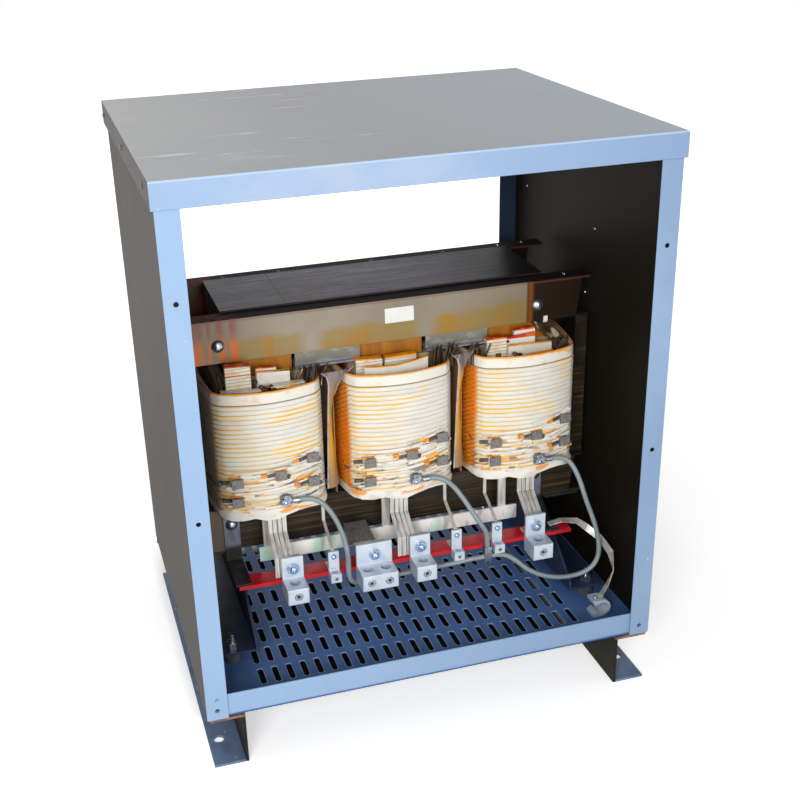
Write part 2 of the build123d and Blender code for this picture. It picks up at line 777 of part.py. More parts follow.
def make_ground():
    """The lug on the floor plate, a thick strip bent round for a wire, and its twisted flat strap."""
    y0, y1 = ground_lug_y
    r = ground_lug_radius
    z = floor_z + r
    ring = Circle(r) - Circle(r - ground_lug_wall)
    mouth = Pos(-r / 2, 0) * Rectangle(r, r * 0.9)
    tongue_x = -ground_lug_tongue / 2
    tongue = Pos(tongue_x, r - ground_lug_wall / 2) * Rectangle(ground_lug_tongue, ground_lug_wall)
    sole = Pos(tongue_x, ground_lug_wall / 2 - r) * Rectangle(ground_lug_tongue, ground_lug_wall)
    profile = Plane.XZ * (ring - mouth + tongue + sole)
    lug = Pos(ground_lug_x, y1, z) * extrude(profile, y1 - y0)
    hole_y = (y0 + y1) / 2
    hole_x = ground_lug_x - ground_lug_tongue / 2
    lug -= rod(hole_x, hole_y, z, z + r + 1, ground_lug_screw_radius)
    keep("ground_lug", lug)
    strap_z = board_top_z + strap_steel
    top = z + r
    w = ground_strap_width
    t = ground_strap_steel
    end_x = lower_bolt_x[1] + strap_width / 2
    stations = [
        ((end_x - w, -133.0, strap_z + t / 2), (0, 1, 0), (1, 0, 0)),
        ((end_x + 10, -134.0, strap_z + 5), (0.2, 1, 0.1), (1, -0.1, 0.2)),
        ((300.0, -137.0, 216.0), (0.1, 0.9, 0.6), (0.9, -0.2, -0.5)),
        ((316.0, -142.0, 203.0), (0.1, 0.5, 1), (0.8, -0.3, -0.5)),
        ((334.0, -158.0, 188.0), (0.1, 0.2, 1), (0.5, -0.8, -0.3)),
        ((342.0, -182.0, 172.0), (0.1, 0.6, 0.8), (0.1, -0.8, -0.6)),
        ((338.0, -202.0, 150.0), (0.5, 0.9, 0.1), (-0.3, -0.5, -1)),
        ((322.0, -212.0, 130.0), (0.3, 1, -0.1), (-0.8, -0.2, -0.7)),
        ((ground_lug_x + 1, hole_y, top + t / 2), (0, 1, 0), (-1, 0, 0)),
    ]
    sections = []
    for centre, across, along in stations:
        along = Vector(*along).normalized()
        across = Vector(*across)
        across = (across - along * across.dot(along)).normalized()
        sections.append(Plane(origin=centre, x_dir=across, z_dir=along) * Rectangle(w, t))
    keep("ground_strap", loft(sections, ruled=True))


def make_label():
    """The data plate, left blank."""
    keep("data_plate", block(*label_x, clamp_front - label_thickness, clamp_front, *label_z))


def main():
    make_lid()
    make_panel("left_side_panel", -1)
    make_panel("right_side_panel", 1)
    make_floor()
    make_sill("front_sill", front_y, 1)
    make_sill("rear_sill", back_y, -1)
    make_foot("left_foot", -1)
    make_foot("right_foot", 1)
    make_core()
    make_clamp("upper_front_clamp", core_front, -1, upper_clamp_z)
    make_clamp("upper_rear_clamp", core_back, 1, upper_clamp_z)
    make_clamp("lower_front_clamp", core_front, -1, lower_clamp_z)
    make_clamp("lower_rear_clamp", core_back, 1, lower_clamp_z)
    make_clamp_bolts()
    make_tie_bars()
    make_support("left_core_stand", -1)
    make_support("right_core_stand", 1)
    make_mounts()
    for name, x in zip(("left", "middle", "right"), leg_xs):
        make_coil(name, x)
    make_inner_windings()
    make_duct_sticks()
    make_barriers()
    make_end_blocks()
    make_yoke_channels()
    make_tabs()
    make_board()
    for name, (x, width) in line_lugs.items():
        make_lug(name, x, width)
    make_small_lugs()
    make_brackets()
    make_leads()
    make_star_point()
    make_jumpers()
    make_neutral_link()
    make_ground()
    make_label()
    os.makedirs("parts", exist_ok=True)
    for name, shape in nodes.items():
        export_step(shape, f"parts/{name}.step")


main()
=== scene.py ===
# %% [markdown]
# # An open dry-type transformer, dressed for a photograph
# The real object is a three-phase transformer in a floor cabinet of folded sheet steel,
# with its covers off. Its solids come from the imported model, in metres, with Z up and
# the open front towards -Y. They could be modelled again here, but then the two would
# drift apart. So each solid stays as it is and gets its look, and this lesson only adds
# what the solids leave out: the single turns of the coils, the papers in their tops, the
# smooth jumper cables and the small screws.

import json
import math
import random

import bpy
from mathutils import Matrix, Vector

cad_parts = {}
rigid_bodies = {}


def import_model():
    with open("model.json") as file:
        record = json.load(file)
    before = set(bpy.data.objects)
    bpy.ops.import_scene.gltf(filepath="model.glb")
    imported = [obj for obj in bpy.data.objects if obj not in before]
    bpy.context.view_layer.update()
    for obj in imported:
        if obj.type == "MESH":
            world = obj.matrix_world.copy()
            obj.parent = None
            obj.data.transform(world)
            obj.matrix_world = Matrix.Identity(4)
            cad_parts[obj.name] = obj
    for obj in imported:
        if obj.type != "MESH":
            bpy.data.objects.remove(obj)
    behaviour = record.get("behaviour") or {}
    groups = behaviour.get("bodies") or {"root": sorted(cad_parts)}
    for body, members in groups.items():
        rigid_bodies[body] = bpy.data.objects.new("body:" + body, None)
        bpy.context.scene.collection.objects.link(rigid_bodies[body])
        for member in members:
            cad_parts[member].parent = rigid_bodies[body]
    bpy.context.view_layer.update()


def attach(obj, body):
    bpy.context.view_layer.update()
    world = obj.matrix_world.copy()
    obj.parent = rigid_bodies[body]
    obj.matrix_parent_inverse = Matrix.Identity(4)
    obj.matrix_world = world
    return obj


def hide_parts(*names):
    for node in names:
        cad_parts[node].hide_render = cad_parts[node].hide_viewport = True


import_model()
for thing in bpy.data.objects:
    thing.select_set(False)
chance = random.Random(7)
MM = 0.001

# %% [markdown]
# ## The camera
# The photographer stood to the left of the cabinet, near and high, and looked down to the
# right. An empty could be tracked to aim the camera, but three angles written out keep
# the slight roll of a camera held by hand. The lens and the two shifts put the object
# where it is in the photograph.

# %% Camera
PLACE = Vector((-0.5035, -1.7588, 1.2213))
YAW, PITCH, ROLL = (math.radians(a) for a in (15.724, -24.997, -1.859))
turn = Matrix.Rotation(-YAW, 4, "Z") @ Matrix.Rotation(math.pi / 2 + PITCH, 4, "X")
turn = turn @ Matrix.Rotation(ROLL, 4, "Z")
lens = bpy.data.cameras.new("view")
lens.sensor_width = 36
lens.lens = 55.277
lens.shift_x = 0.0345
lens.shift_y = 0.0389
lens.clip_start = 0.05
camera = bpy.data.objects.new("view", lens)
camera.matrix_world = Matrix.Translation(PLACE) @ turn
bpy.context.scene.collection.objects.link(camera)
bpy.context.scene.camera = camera
bpy.context.scene.view_settings.view_transform = "Standard"
print("camera at", tuple(PLACE), "with a lens of", lens.lens, "mm")

# %% [markdown]
# ## Helpers for looks
# Every face here is paint, varnish, paper or metal with stains in it. Such a finish could
# be painted on an image, but an image needs unwrapping and a file. Instead a look stacks
# layers of colour, each with a mask that is worked out from the place on the part in
# metres, so a stain stays where it is. Colours are written as 0 to 255 screen values.


# %% Looks
def tone(red, green, blue):
    """A screen colour as the linear colour that a shader takes."""
    parts = []
    for value in (red, green, blue):
        c = value / 255
        parts.append(c / 12.92 if c <= 0.04045 else ((c + 0.055) / 1.055) ** 2.4)
    return (*parts, 1.0)


class Look:
    """A material that is built up from layers of colour."""

    def __init__(self, name, colour, rough=0.5, metal=0.0):
        self.material = bpy.data.materials.new(name)
        self.material.use_nodes = True
        self.tree = self.material.node_tree
        self.shader = self.tree.nodes["Principled BSDF"]
        self.shader.inputs["Roughness"].default_value = rough
        self.shader.inputs["Metallic"].default_value = metal
        self.place = self.tree.nodes.new("ShaderNodeTexCoord").outputs["Object"]
        split = self.add("ShaderNodeSeparateXYZ", Vector=self.place)
        self.x, self.y, self.z = split.outputs
        self.colour = colour
        self.rough = rough
        self.height = None

    def add(self, kind, **inputs):
        """Adds a node, and joins or sets its inputs by name."""
        node = self.tree.nodes.new(kind)
        for key, value in inputs.items():
            self.put(node.inputs[key.replace("_", " ")], value)
        return node

    def put(self, socket, value):
        """Joins a socket to another, or sets its plain value."""
        if isinstance(value, bpy.types.NodeSocket):
            self.tree.links.new(value, socket)
        else:
            socket.default_value = value

    def math(self, job, a, b=0.0, clamp=False):
        """One sum, product or other step between two values."""
        node = self.tree.nodes.new("ShaderNodeMath")
        node.operation = job
        node.use_clamp = clamp
        self.put(node.inputs[0], a)
        self.put(node.inputs[1], b)
        return node.outputs[0]

    def over(self, value, low, high):
        """Rises from 0 at low to 1 at high. With low above high it falls."""
        node = self.tree.nodes.new("ShaderNodeMapRange")
        self.put(node.inputs["Value"], value)
        self.put(node.inputs["From Min"], low)
        self.put(node.inputs["From Max"], high)
        return node.outputs["Result"]

    def both(self, *masks):
        """Where all the masks are."""
        result = masks[0]
        for mask in masks[1:]:
            result = self.math("MULTIPLY", result, mask)
        return result

    def band(self, value, low, high, soft=0.001):
        """1 between low and high, with soft ends."""
        rising = self.over(value, low - soft, low + soft)
        falling = self.over(value, high + soft, high - soft)
        return self.both(rising, falling)

    def noise(self, scale, stretch=(1, 1, 1), detail=4.0, seed=0.0):
        """Cloudy values about 0.5. A larger stretch makes the pattern finer along that axis."""
        moved = self.add("ShaderNodeMapping", Vector=self.place)
        moved.inputs["Scale"].default_value = stretch
        moved.inputs["Location"].default_value = (seed, seed * 0.7, seed * 1.3)
        node = self.add("ShaderNodeTexNoise", Vector=moved.outputs[0])
        node.inputs["Scale"].default_value = scale
        node.inputs["Detail"].default_value = detail
        return node.outputs["Fac"]

    def patches(self, low, high, scale, stretch=(1, 1, 1), detail=4.0, seed=0.0):
        """Cloudy patches: 0 where the noise is at low, 1 where it is at high."""
        return self.over(self.noise(scale, stretch, detail, seed), low, high)

    def specks(self, scale, share, seed=0.0, stretch=(1, 1, 1)):
        """Small scattered spots over about that share of the face."""
        return self.patches(0.78 - share, 0.80 - share, scale, stretch, 3.0, seed)

    def layer(self, mask, colour, amount=1.0):
        """Lays a colour over what is there, where the mask is."""
        node = self.tree.nodes.new("ShaderNodeMix")
        node.data_type = "RGBA"
        factor, below, above = node.inputs[0], node.inputs[6], node.inputs[7]
        self.put(factor, self.math("MULTIPLY", mask, amount, clamp=True))
        self.put(below, self.colour)
        self.put(above, colour)
        self.colour = node.outputs[2]
        return self

    def gloss(self, mask, rough):
        """Changes the roughness where the mask is."""
        node = self.tree.nodes.new("ShaderNodeMix")
        self.put(node.inputs[0], mask)
        self.put(node.inputs[2], self.rough)
        self.put(node.inputs[3], rough)
        self.rough = node.outputs[0]
        return self

    def mirror(self, level, mask=None):
        """Sets how much the face mirrors. With a mask, faces outside it keep the usual 0.5."""
        socket = self.shader.inputs["Specular IOR Level"]
        socket.default_value = level
        if mask is not None:
            self.put(socket, self.math("ADD", 0.5, self.math("MULTIPLY", mask, level - 0.5)))
        return self

    def done(self, height=None, depth=0.0003, edge=0.0):
        """Joins the layers to the shader, with bumps and softened edges if wanted."""
        self.put(self.shader.inputs["Base Color"], self.colour)
        self.put(self.shader.inputs["Roughness"], self.rough)
        normal = None
        if edge:
            soft = self.tree.nodes.new("ShaderNodeBevel")
            soft.samples = 4
            soft.inputs["Radius"].default_value = edge
            normal = soft.outputs[0]
        if height is not None:
            bump = self.add("ShaderNodeBump", Height=height)
            bump.inputs["Strength"].default_value = 1.0
            bump.inputs["Distance"].default_value = depth
            if normal is not None:
                self.put(bump.inputs["Normal"], normal)
            normal = bump.outputs[0]
        if normal is not None:
            self.put(self.shader.inputs["Normal"], normal)
        return self.material


def dress(names, material):
    """Gives a look to CAD nodes or to pieces of the scene."""
    for name in names:
        mesh = bpy.data.objects[name].data
        mesh.materials.clear()
        mesh.materials.append(material)
    print(material.name, "on", ", ".join(names))


# %% [markdown]
# ## The side panels and their posts
# Each panel is folded from one enamelled sheet with one paint all over. Its posts and the
# sills are pale blue, as that paint looks where it is lit. Its outer face is painted brown-grey
# and its inner face nearly black, both as painted shade, and the posts and sills are painted
# darker towards the right and dark blue just in front of the rear posts, as painted shade.
# Faces could be picked by hand for each colour. A mask by place is shorter here, because each
# colour has its own depth: the posts lie furthest to the front and back. Chips show as pale
# specks.

# %% Side panels, posts and sills
# Painted shade: the brown-grey base is the outer face of the sheet in shade.
paint = Look("cabinet_paint", tone(70, 63, 58), 0.5)
paint.layer(paint.patches(0.35, 0.7, 6.0), tone(62, 56, 51), 0.8)
# Painted shade: the inner face is painted nearly black.
inside = paint.both(paint.over(paint.x, 0.30, 0.3001), paint.over(paint.x, 0.3552, 0.3548))
paint.layer(inside, tone(30, 26, 20))
# Painted shade: dark blue just in front of the rear posts.
paint.layer(paint.over(paint.y, 0.272, 0.276), tone(50, 62, 82))
front_post = paint.over(paint.y, -0.2940, -0.2948)
rear_post = paint.over(paint.y, 0.2799, 0.2806)
post = paint.math("MAXIMUM", front_post, rear_post)
low_down = paint.over(paint.z, 0.127, 0.126)
outermost = paint.over(paint.math("ABSOLUTE", paint.y), 0.270, 0.2795)
between_panels = paint.over(paint.math("ABSOLUTE", paint.x), 0.3534, 0.3532)
sill = paint.both(low_down, outermost, between_panels)
lit = paint.math("MAXIMUM", post, sill)
paint.mirror(0.05, paint.math("SUBTRACT", 1.0, lit))
paint.layer(lit, tone(143, 172, 206))
# Painted shade: the posts and sills are painted darker towards the right.
paint.layer(paint.both(lit, paint.over(paint.x, -0.25, 0.35)), tone(124, 150, 182))
brighter = paint.patches(0.45, 0.75, 5.0, (1, 1, 1), 3, 9)
paint.layer(paint.both(lit, brighter), tone(158, 184, 212), 0.4)
paint.layer(paint.both(post, paint.specks(150, 0.035)), tone(206, 212, 220))
paint.layer(paint.both(sill, paint.specks(120, 0.060, 4)), tone(96, 96, 98), 0.8)
cabinet_paint = paint.done(edge=0.001)
dress(["left_side_panel", "right_side_panel", "front_sill", "rear_sill"], cabinet_paint)

# %% [markdown]
# ## The lid
# The lid is the same paint as the panels. Its top is painted grey as a painted reflection,
# warmer at the left and bluer at the right, with long scratches that run from left to right.
# Its front and rear flanges are pale blue, painted darker towards the right as painted shade
# and lighter along their upper bend as a painted highlight. Its side flanges are painted as
# dark as the panels, as painted shade. The scratches could be cut into the mesh, but they
# are thinner than the paint, so a noise that is stretched along X draws them.

# %% Lid
# Painted reflection: the grey of the top, warmer at the left and bluer at the right.
lid = Look("lid_paint", tone(142, 143, 148), 0.42)
lid.layer(lid.over(lid.x, 0.02, 0.34), tone(150, 159, 172), 0.9)
lid.layer(lid.over(lid.x, -0.10, -0.36), tone(172, 172, 169), 0.9)
lid.layer(lid.patches(0.42, 0.66, 2.2, (1, 1.5, 1)), tone(142, 146, 152), 0.5)
long_marks = lid.patches(0.672, 0.682, 30, (0.30, 3.4, 1), 2, 8)
scratched_areas = lid.patches(0.5, 0.56, 4, (1, 1, 1), 2, 2)
left_half = lid.over(lid.x, 0.02, -0.06)
lid.layer(lid.both(long_marks, scratched_areas, left_half), tone(222, 204, 200), 0.7)
lid.layer(lid.specks(90, 0.018, 5), tone(214, 212, 208), 0.8)
from_middle = lid.math("ABSOLUTE", lid.y)
lid_front = lid.over(from_middle, 0.2966, 0.2975)
lid_side = lid.both(lid.over(lid.z, 0.8815, 0.8805), lid.over(from_middle, 0.2975, 0.2966))
lid.mirror(0.05, lid_side)
# Painted shade: the side flanges are painted as dark as the panels.
lid.layer(lid_side, tone(58, 51, 46))
lid.layer(lid_front, tone(140, 167, 200))
rubbed = lid.both(lid.patches(0.45, 0.6, 6, (1, 1, 1), 3, 3), lid.band(lid.x, -0.26, 0.10, 0.08))
lid.layer(lid.both(lid_front, rubbed), tone(166, 180, 202), 0.7)
# Painted shade towards the right, and a painted highlight along the upper bend, on the front and rear
# flanges.
lid.layer(lid.both(lid_front, lid.over(lid.x, 0.0, 0.34)), tone(124, 150, 184), 0.8)
lid.layer(lid.both(lid_front, lid.over(lid.z, 0.8790, 0.8806)), tone(176, 200, 226), 0.9)
lid.layer(lid.both(lid_front, lid.specks(110, 0.035, 2)), tone(206, 212, 222))
lid_paint = lid.done(height=lid.noise(9, (0.6, 1, 1), 2), depth=0.0005, edge=0.0015)
dress(["lid"], lid_paint)

# %% [markdown]
# ## The pierced floor
# The bottom plate is blue, and each of its air slots has a thin bright rim: a painted
# highlight along the edge that the punch rolled. The slots are real holes in the solid. A
# rim of its own round each of 216 slots would be heavy, so the mask repeats the rows of
# slots by their pitch and paints a highlight strip 1 mm wide round each. At the bottom the
# plate is painted dark blue as painted shade.

# %% Floor plate
floor = Look("floor_paint", tone(78, 112, 168), 0.42)
floor.layer(floor.patches(0.45, 0.7, 30), tone(96, 130, 184), 0.6)
floor.mirror(0.25)
SLOT_X, SLOT_Y, SLOT_W, SLOT_L = 0.0224, 0.0545, 0.009, 0.040
RIM, RIM_SOFT = 0.0010, 0.0004
solid_x = (SLOT_X - SLOT_W) / 2 - RIM
solid_y = (SLOT_Y - SLOT_L) / 2 - RIM
across = floor.math("PINGPONG", floor.math("ADD", floor.x, SLOT_X * 12), SLOT_X / 2)
along = floor.math("PINGPONG", floor.math("ADD", floor.y, SLOT_Y * 4.5 - 0.001), SLOT_Y / 2)
near_x = floor.over(across, solid_x, solid_x + RIM_SOFT)
near_y = floor.over(along, solid_y, solid_y + RIM_SOFT)
rim = floor.both(near_x, near_y, floor.over(floor.math("ABSOLUTE", floor.x), 0.2627, 0.2625))
# Painted highlight: a bright strip round the edge of each slot.
floor.layer(rim, tone(160, 184, 220), 0.7)
# Painted shade: the lowest millimetre of the plate is painted dark blue.
floor.layer(floor.over(floor.z, 0.0895, 0.0885), tone(44, 66, 104), 0.9)
floor_paint = floor.done()
dress(["floor_plate"], floor_paint)

# %% [markdown]
# ## The feet
# Two channels of thicker steel carry the cabinet. Their webs are black, their bottom
# flanges are blue with chips, and rust shows on the upper flange, right under the panel.
# One look with three masks serves both feet, because they mirror each other about X = 0.

# %% Feet
foot = Look("foot_steel", tone(36, 34, 27), 0.55)
foot.layer(foot.patches(0.48, 0.66, 26), tone(48, 44, 37), 0.7)
leaf = foot.over(foot.math("ABSOLUTE", foot.x), 0.3040, 0.3044)
foot.mirror(0.08, foot.math("SUBTRACT", 1.0, leaf))
foot.layer(leaf, tone(98, 120, 152))
foot.layer(foot.both(leaf, foot.patches(0.5, 0.66, 30, (1, 1, 1), 3, 4)), tone(78, 94, 120), 0.7)
top_leaf = foot.over(foot.z, 0.0815, 0.0822)
foot.layer(top_leaf, tone(96, 84, 78))
foot.layer(foot.both(top_leaf, foot.patches(0.46, 0.6, 60)), tone(150, 104, 70))
foot.layer(foot.both(leaf, foot.specks(120, 0.06)), tone(190, 196, 202))
foot_steel = foot.done(height=foot.noise(120), depth=0.0004, edge=0.001)
dress(["left_foot", "right_foot"], foot_steel)

# %% [markdown]
# ## The laminated core
# The yokes and legs are stacks of thin steel sheets, dipped in varnish. The sheets could
# be modelled one by one, but they are so many and so thin that they would only shimmer.
# A fine wave along Y gives the stacking as a bump, and three streaky layers give the
# violet and brown varnish. Towards the right the core is painted nearly black, as painted
# shade.

# %% Core
core = Look("core_varnish", tone(92, 84, 90), 0.34)
core.layer(core.patches(0.46, 0.60, 30, (0.22, 4, 1), 6, 1), tone(138, 130, 172), 0.85)
core.layer(core.patches(0.52, 0.60, 44, (0.25, 6, 1), 5, 6), tone(46, 38, 42), 0.85)
core.layer(core.patches(0.60, 0.66, 60, (0.3, 7, 1), 4, 16), tone(186, 178, 196), 0.7)
core.layer(core.patches(0.5, 0.62, 3, (1, 1, 1), 2, 9), tone(76, 66, 60), 0.5)
# Painted shade: the core is painted nearly black towards the right.
core.layer(core.over(core.x, 0.02, 0.20), tone(18, 14, 13), 0.95)
duller = core.math("MULTIPLY", core.over(core.x, 0.04, 0.18), 0.3)
core.mirror(0.10, core.math("ADD", 0.7, duller))
edge_on = core.both(core.over(core.y, -0.0370, -0.0374), core.over(core.z, 0.51, 0.511))
core.layer(edge_on, tone(40, 32, 30), 0.9)
from_joint = core.math("ABSOLUTE", core.math("ADD", core.x, 0.147))
joint = core.both(core.over(core.z, 0.6195, 0.6198), core.over(from_joint, 0.0012, 0.0007))
core.layer(joint, tone(10, 8, 10))
SHEET_WAVE = 0.0016
sheets = core.math("SINE", core.math("MULTIPLY", core.y, 2 * math.pi / SHEET_WAVE))
streaks = core.noise(30, (0.22, 4, 1), 6, 1)
relief = core.math("ADD", streaks, core.math("MULTIPLY", sheets, 0.1))
core_varnish = core.done(height=relief, depth=0.0007)
dress(["bottom_yoke", "top_yoke", "core_legs"], core_varnish)

# %% [markdown]
# ## The upper clamps
# Two folded channels press the upper yoke together. Their steel is bare and grey-brown.
# Varnish has run down in ochre patches over the three coils and dripped red round the
# left bolt, and the right end is dark brown, with its very end painted nearly black as
# painted shade. Each patch is a band in X and Z whose edge a noise breaks up, so the runs
# stay ragged without a drawn outline.

# %% Upper clamps
clamp = Look("clamp_steel", tone(146, 137, 122), 0.42, 0.15)
clamp.layer(clamp.patches(0.4, 0.7, 5, (1, 1, 1), 3, 2), tone(118, 108, 90), 0.8)
ragged = clamp.math("MULTIPLY", clamp.noise(25, (1, 1, 0.4), 2, 3), 0.012)
low = clamp.over(clamp.math("ADD", clamp.z, ragged), 0.594, 0.584)
for first, last in ((-0.241, -0.133), (-0.104, 0.050), (0.078, 0.229)):
    cloud = clamp.both(low, clamp.band(clamp.x, first, last, 0.010))
    clamp.layer(cloud, tone(140, 112, 38), 0.75)
    thick = clamp.patches(0.48, 0.60, 22, (1, 1, 0.6), 3, 5)
    clamp.layer(clamp.both(cloud, thick), tone(152, 110, 8), 0.85)
single_run = clamp.both(clamp.band(clamp.x, -0.188, -0.176, 0.002), clamp.over(clamp.z, 0.584, 0.576))
clamp.layer(single_run, tone(160, 108, 4), 0.8)
yellowed = clamp.both(clamp.over(clamp.x, 0.10, 0.20), clamp.over(clamp.z, 0.6160, 0.58))
clamp.layer(yellowed, tone(120, 98, 40), 0.5)
clamp.layer(clamp.over(clamp.x, 0.229, 0.232), tone(92, 52, 18), 0.9)
clamp.layer(clamp.band(clamp.x, 0.2350, 0.2385, 0.001), tone(140, 76, 20), 0.6)
# Painted shade: the very right end is painted nearly black.
clamp.layer(clamp.over(clamp.x, 0.2400, 0.2440), tone(34, 26, 20), 0.97)
clamp.layer(clamp.over(clamp.x, -0.215, -0.30), tone(110, 92, 64), 0.7)
top_leaf = clamp.over(clamp.z, 0.6158, 0.6164)
clamp.layer(top_leaf, tone(32, 26, 25))
clamp.gloss(top_leaf, 0.6)
clamp.mirror(0.06, clamp.math("MAXIMUM", top_leaf, clamp.over(clamp.x, 0.229, 0.232)))
clamp.layer(clamp.band(clamp.z, 0.6125, 0.6155, 0.0004), tone(110, 62, 54), 0.5)
drips = clamp.both(clamp.over(clamp.x, -0.222, -0.236), clamp.patches(0.38, 0.50, 60, (1, 1, 0.05), 2, 3))
clamp.layer(clamp.both(drips, clamp.over(clamp.z, 0.596, 0.578)), tone(196, 100, 6), 0.95)
clamp.layer(clamp.both(drips, clamp.over(clamp.z, 0.578, 0.600)), tone(128, 62, 58), 0.75)
clamp_steel = clamp.done(height=clamp.noise(300, (0.05, 1, 1)), depth=0.00005, edge=0.0008)
dress(["upper_front_clamp", "upper_rear_clamp"], clamp_steel)

# %% [markdown]
# ## The lower clamps, the tie bars and the stands
# The lower frame stands in the shade and in dried varnish, so it is dark brown with a
# few ochre lines. The board's straps are black steel with lighter upper ends, and the
# stands are dark blue. One shared look would be shorter, but the three are so different
# in the photograph that each gets its own.

# %% Lower frame and stands
dark = Look("clamp_dark", tone(42, 33, 24), 0.42)
dark.layer(dark.patches(0.50, 0.62, 26, (0.08, 1, 6), 3, 3), tone(66, 54, 38), 0.6)
dark.layer(dark.patches(0.56, 0.64, 60, (0.1, 1, 6), 3, 9), tone(24, 17, 12), 0.8)
dark.layer(dark.patches(0.60, 0.64, 90, (0.05, 1, 6), 2, 15), tone(104, 88, 50), 0.6)
dark.mirror(0.25)
# The left end, out of the shade of the coils, is painted lighter.
dark.layer(dark.over(dark.x, -0.262, -0.276), tone(112, 100, 84), 0.9)
# Painted shade: the upper edge is painted darker under the coils.
shade_under_coils = dark.both(dark.over(dark.z, 0.300, 0.3035), dark.patches(0.4, 0.6, 18))
dark.layer(shade_under_coils, tone(20, 15, 13), 0.9)
clamp_dark = dark.done(height=dark.noise(80, (0.1, 1, 4)), depth=0.0003, edge=0.0008)
dress(["lower_front_clamp", "lower_rear_clamp", "tie_bars"], clamp_dark)

strap_steel = Look("strap_steel", tone(30, 26, 25), 0.36)
strap_steel.layer(strap_steel.over(strap_steel.z, 0.236, 0.244), tone(120, 126, 146))
strap_steel.layer(strap_steel.patches(0.5, 0.66, 70, (1, 1, 0.4)), tone(70, 64, 66), 0.6)
board_strap_steel = strap_steel.done(height=strap_steel.noise(120), depth=0.0002, edge=0.0008)
dress(["board_straps"], board_strap_steel)

stand = Look("stand_paint", tone(34, 46, 70), 0.45)
stand.layer(stand.patches(0.45, 0.66, 22), tone(50, 66, 96), 0.7)
# Painted shade: the stands are painted darker towards the top, under the lower clamps.
stand.layer(stand.over(stand.z, 0.20, 0.235), tone(36, 32, 32), 0.8)
stand_paint = stand.done(edge=0.0008)
dress(["left_core_stand", "right_core_stand"], stand_paint)

# %% [markdown]
# ## Bolts and pads
# Zinc-plated bolts are nearly mirrors with a faint grain. The pads under the stands are
# grey rubber, which is rough and shines little. An image of each would show more detail,
# but the bolts are so small in view that one fine noise is enough.

# %% Bolts and pads
zinc = Look("bolt_zinc", tone(176, 182, 192), 0.22, 0.9)
zinc.layer(zinc.patches(0.4, 0.7, 160), tone(120, 124, 136), 0.6)
bolt_zinc = zinc.done(height=zinc.noise(400), depth=0.0001, edge=0.0008)

rubber = Look("pad_rubber", tone(66, 70, 76), 0.7)
rubber.layer(rubber.patches(0.4, 0.7, 90), tone(94, 98, 104), 0.7)
pad_rubber = rubber.done(height=rubber.noise(300), depth=0.0003)
dress(["clamp_bolts", "mount_bolts", "star_point", "jumper_rings"], bolt_zinc)
dress(["vibration_pads"], pad_rubber)

# %% [markdown]
# ## The wound strap
# Each coil is metal strap wrapped in off-white paper. Amber varnish has run into the
# gaps between the turns, more of it on the left half of each coil, and it covers the
# side that faces the next coil in slanting lines. The mask for the gaps counts the turns
# by their pitch, so it stays in step with the turns that are modelled further down.

# %% Wound strap
PITCH_Z = 0.0075
TURNS = 24
FOOT_Z = 0.318
COLLAR_Z = 0.498
COIL_PITCH = 0.208
COILS = {"left": -0.198, "middle": 0.010, "right": 0.218}

strap = Look("wound_strap", tone(230, 226, 216), 0.6)
strap.layer(strap.patches(0.45, 0.7, 22, (1, 1, 3), 4, 2), tone(218, 212, 200), 0.8)
gap = strap.math("PINGPONG", strap.math("SUBTRACT", strap.z, FOOT_Z), PITCH_Z / 2)
coils_from_left = strap.math("DIVIDE", strap.math("ADD", strap.x, 0.302), COIL_PITCH)
in_coil = strap.math("MULTIPLY", strap.math("FRACT", coils_from_left), COIL_PITCH)
stripy = strap.patches(0.40, 0.50, 15, (1, 1, 9), 4, 7)
left_half = strap.over(in_coil, 0.115, 0.04)
more = strap.math("MAXIMUM", left_half, strap.patches(0.5, 0.6, 9, (1, 1, 2), 2, 4))
amber = strap.both(strap.over(gap, 0.0020, 0.0013), stripy, more)
strap.layer(amber, tone(255, 206, 62), 0.95)
strap.layer(strap.over(gap, 0.0005, 0.0001), tone(150, 142, 128), 0.6)
left_side = strap.over(in_coil, 0.0245, 0.0215)
strap.layer(strap.both(left_side, strap.over(strap.y, -0.098, -0.092)), tone(250, 148, 8), 0.95)
leaning = strap.math("ADD", strap.z, strap.math("MULTIPLY", strap.y, 0.55))
slanted = strap.math("PINGPONG", leaning, PITCH_Z / 2)
strap.layer(strap.both(left_side, strap.over(slanted, 0.0018, 0.0008)), tone(176, 96, 8), 0.6)
pooled = strap.patches(0.5, 0.6, 20, (1, 1, 0.4), 3, 9)
strap.layer(strap.both(left_side, pooled), tone(252, 140, 4), 0.6)
# Painted shade: the outer side of the left coil is painted a darker grey-beige than its front, without the
# orange.
outer_side = strap.both(strap.over(strap.x, -0.276, -0.280), strap.over(strap.y, -0.100, -0.094))
strap.layer(outer_side, tone(196, 184, 166), 0.95)
strap.layer(strap.specks(120, 0.022, 3), tone(232, 168, 60))
low_zone = strap.over(strap.z, 0.400, 0.372)
soot = strap.patches(0.57, 0.62, 34, (1, 1, 4), 4, 12)
strap.layer(strap.both(low_zone, soot), tone(84, 76, 68), 0.75)
splashes = strap.patches(0.58, 0.61, 30, (1, 1, 5), 4, 21)
strap.layer(strap.both(low_zone, splashes), tone(240, 172, 34), 0.85)
wound_strap = strap.done(height=strap.noise(260, (1, 1, 2)), depth=0.0003)
dress(["left_outer_winding", "middle_outer_winding", "right_outer_winding"], wound_strap)

# %% [markdown]
# ## The collar and band paper
# A paper collar closes the top of each coil, and its upper edge is soaked orange with
# varnish. A band of similar paper closes the foot. The soaked edge could be a face of its
# own with its own colour, but its border would be straight. Here a noise lifts and lowers
# the height at which the orange starts.

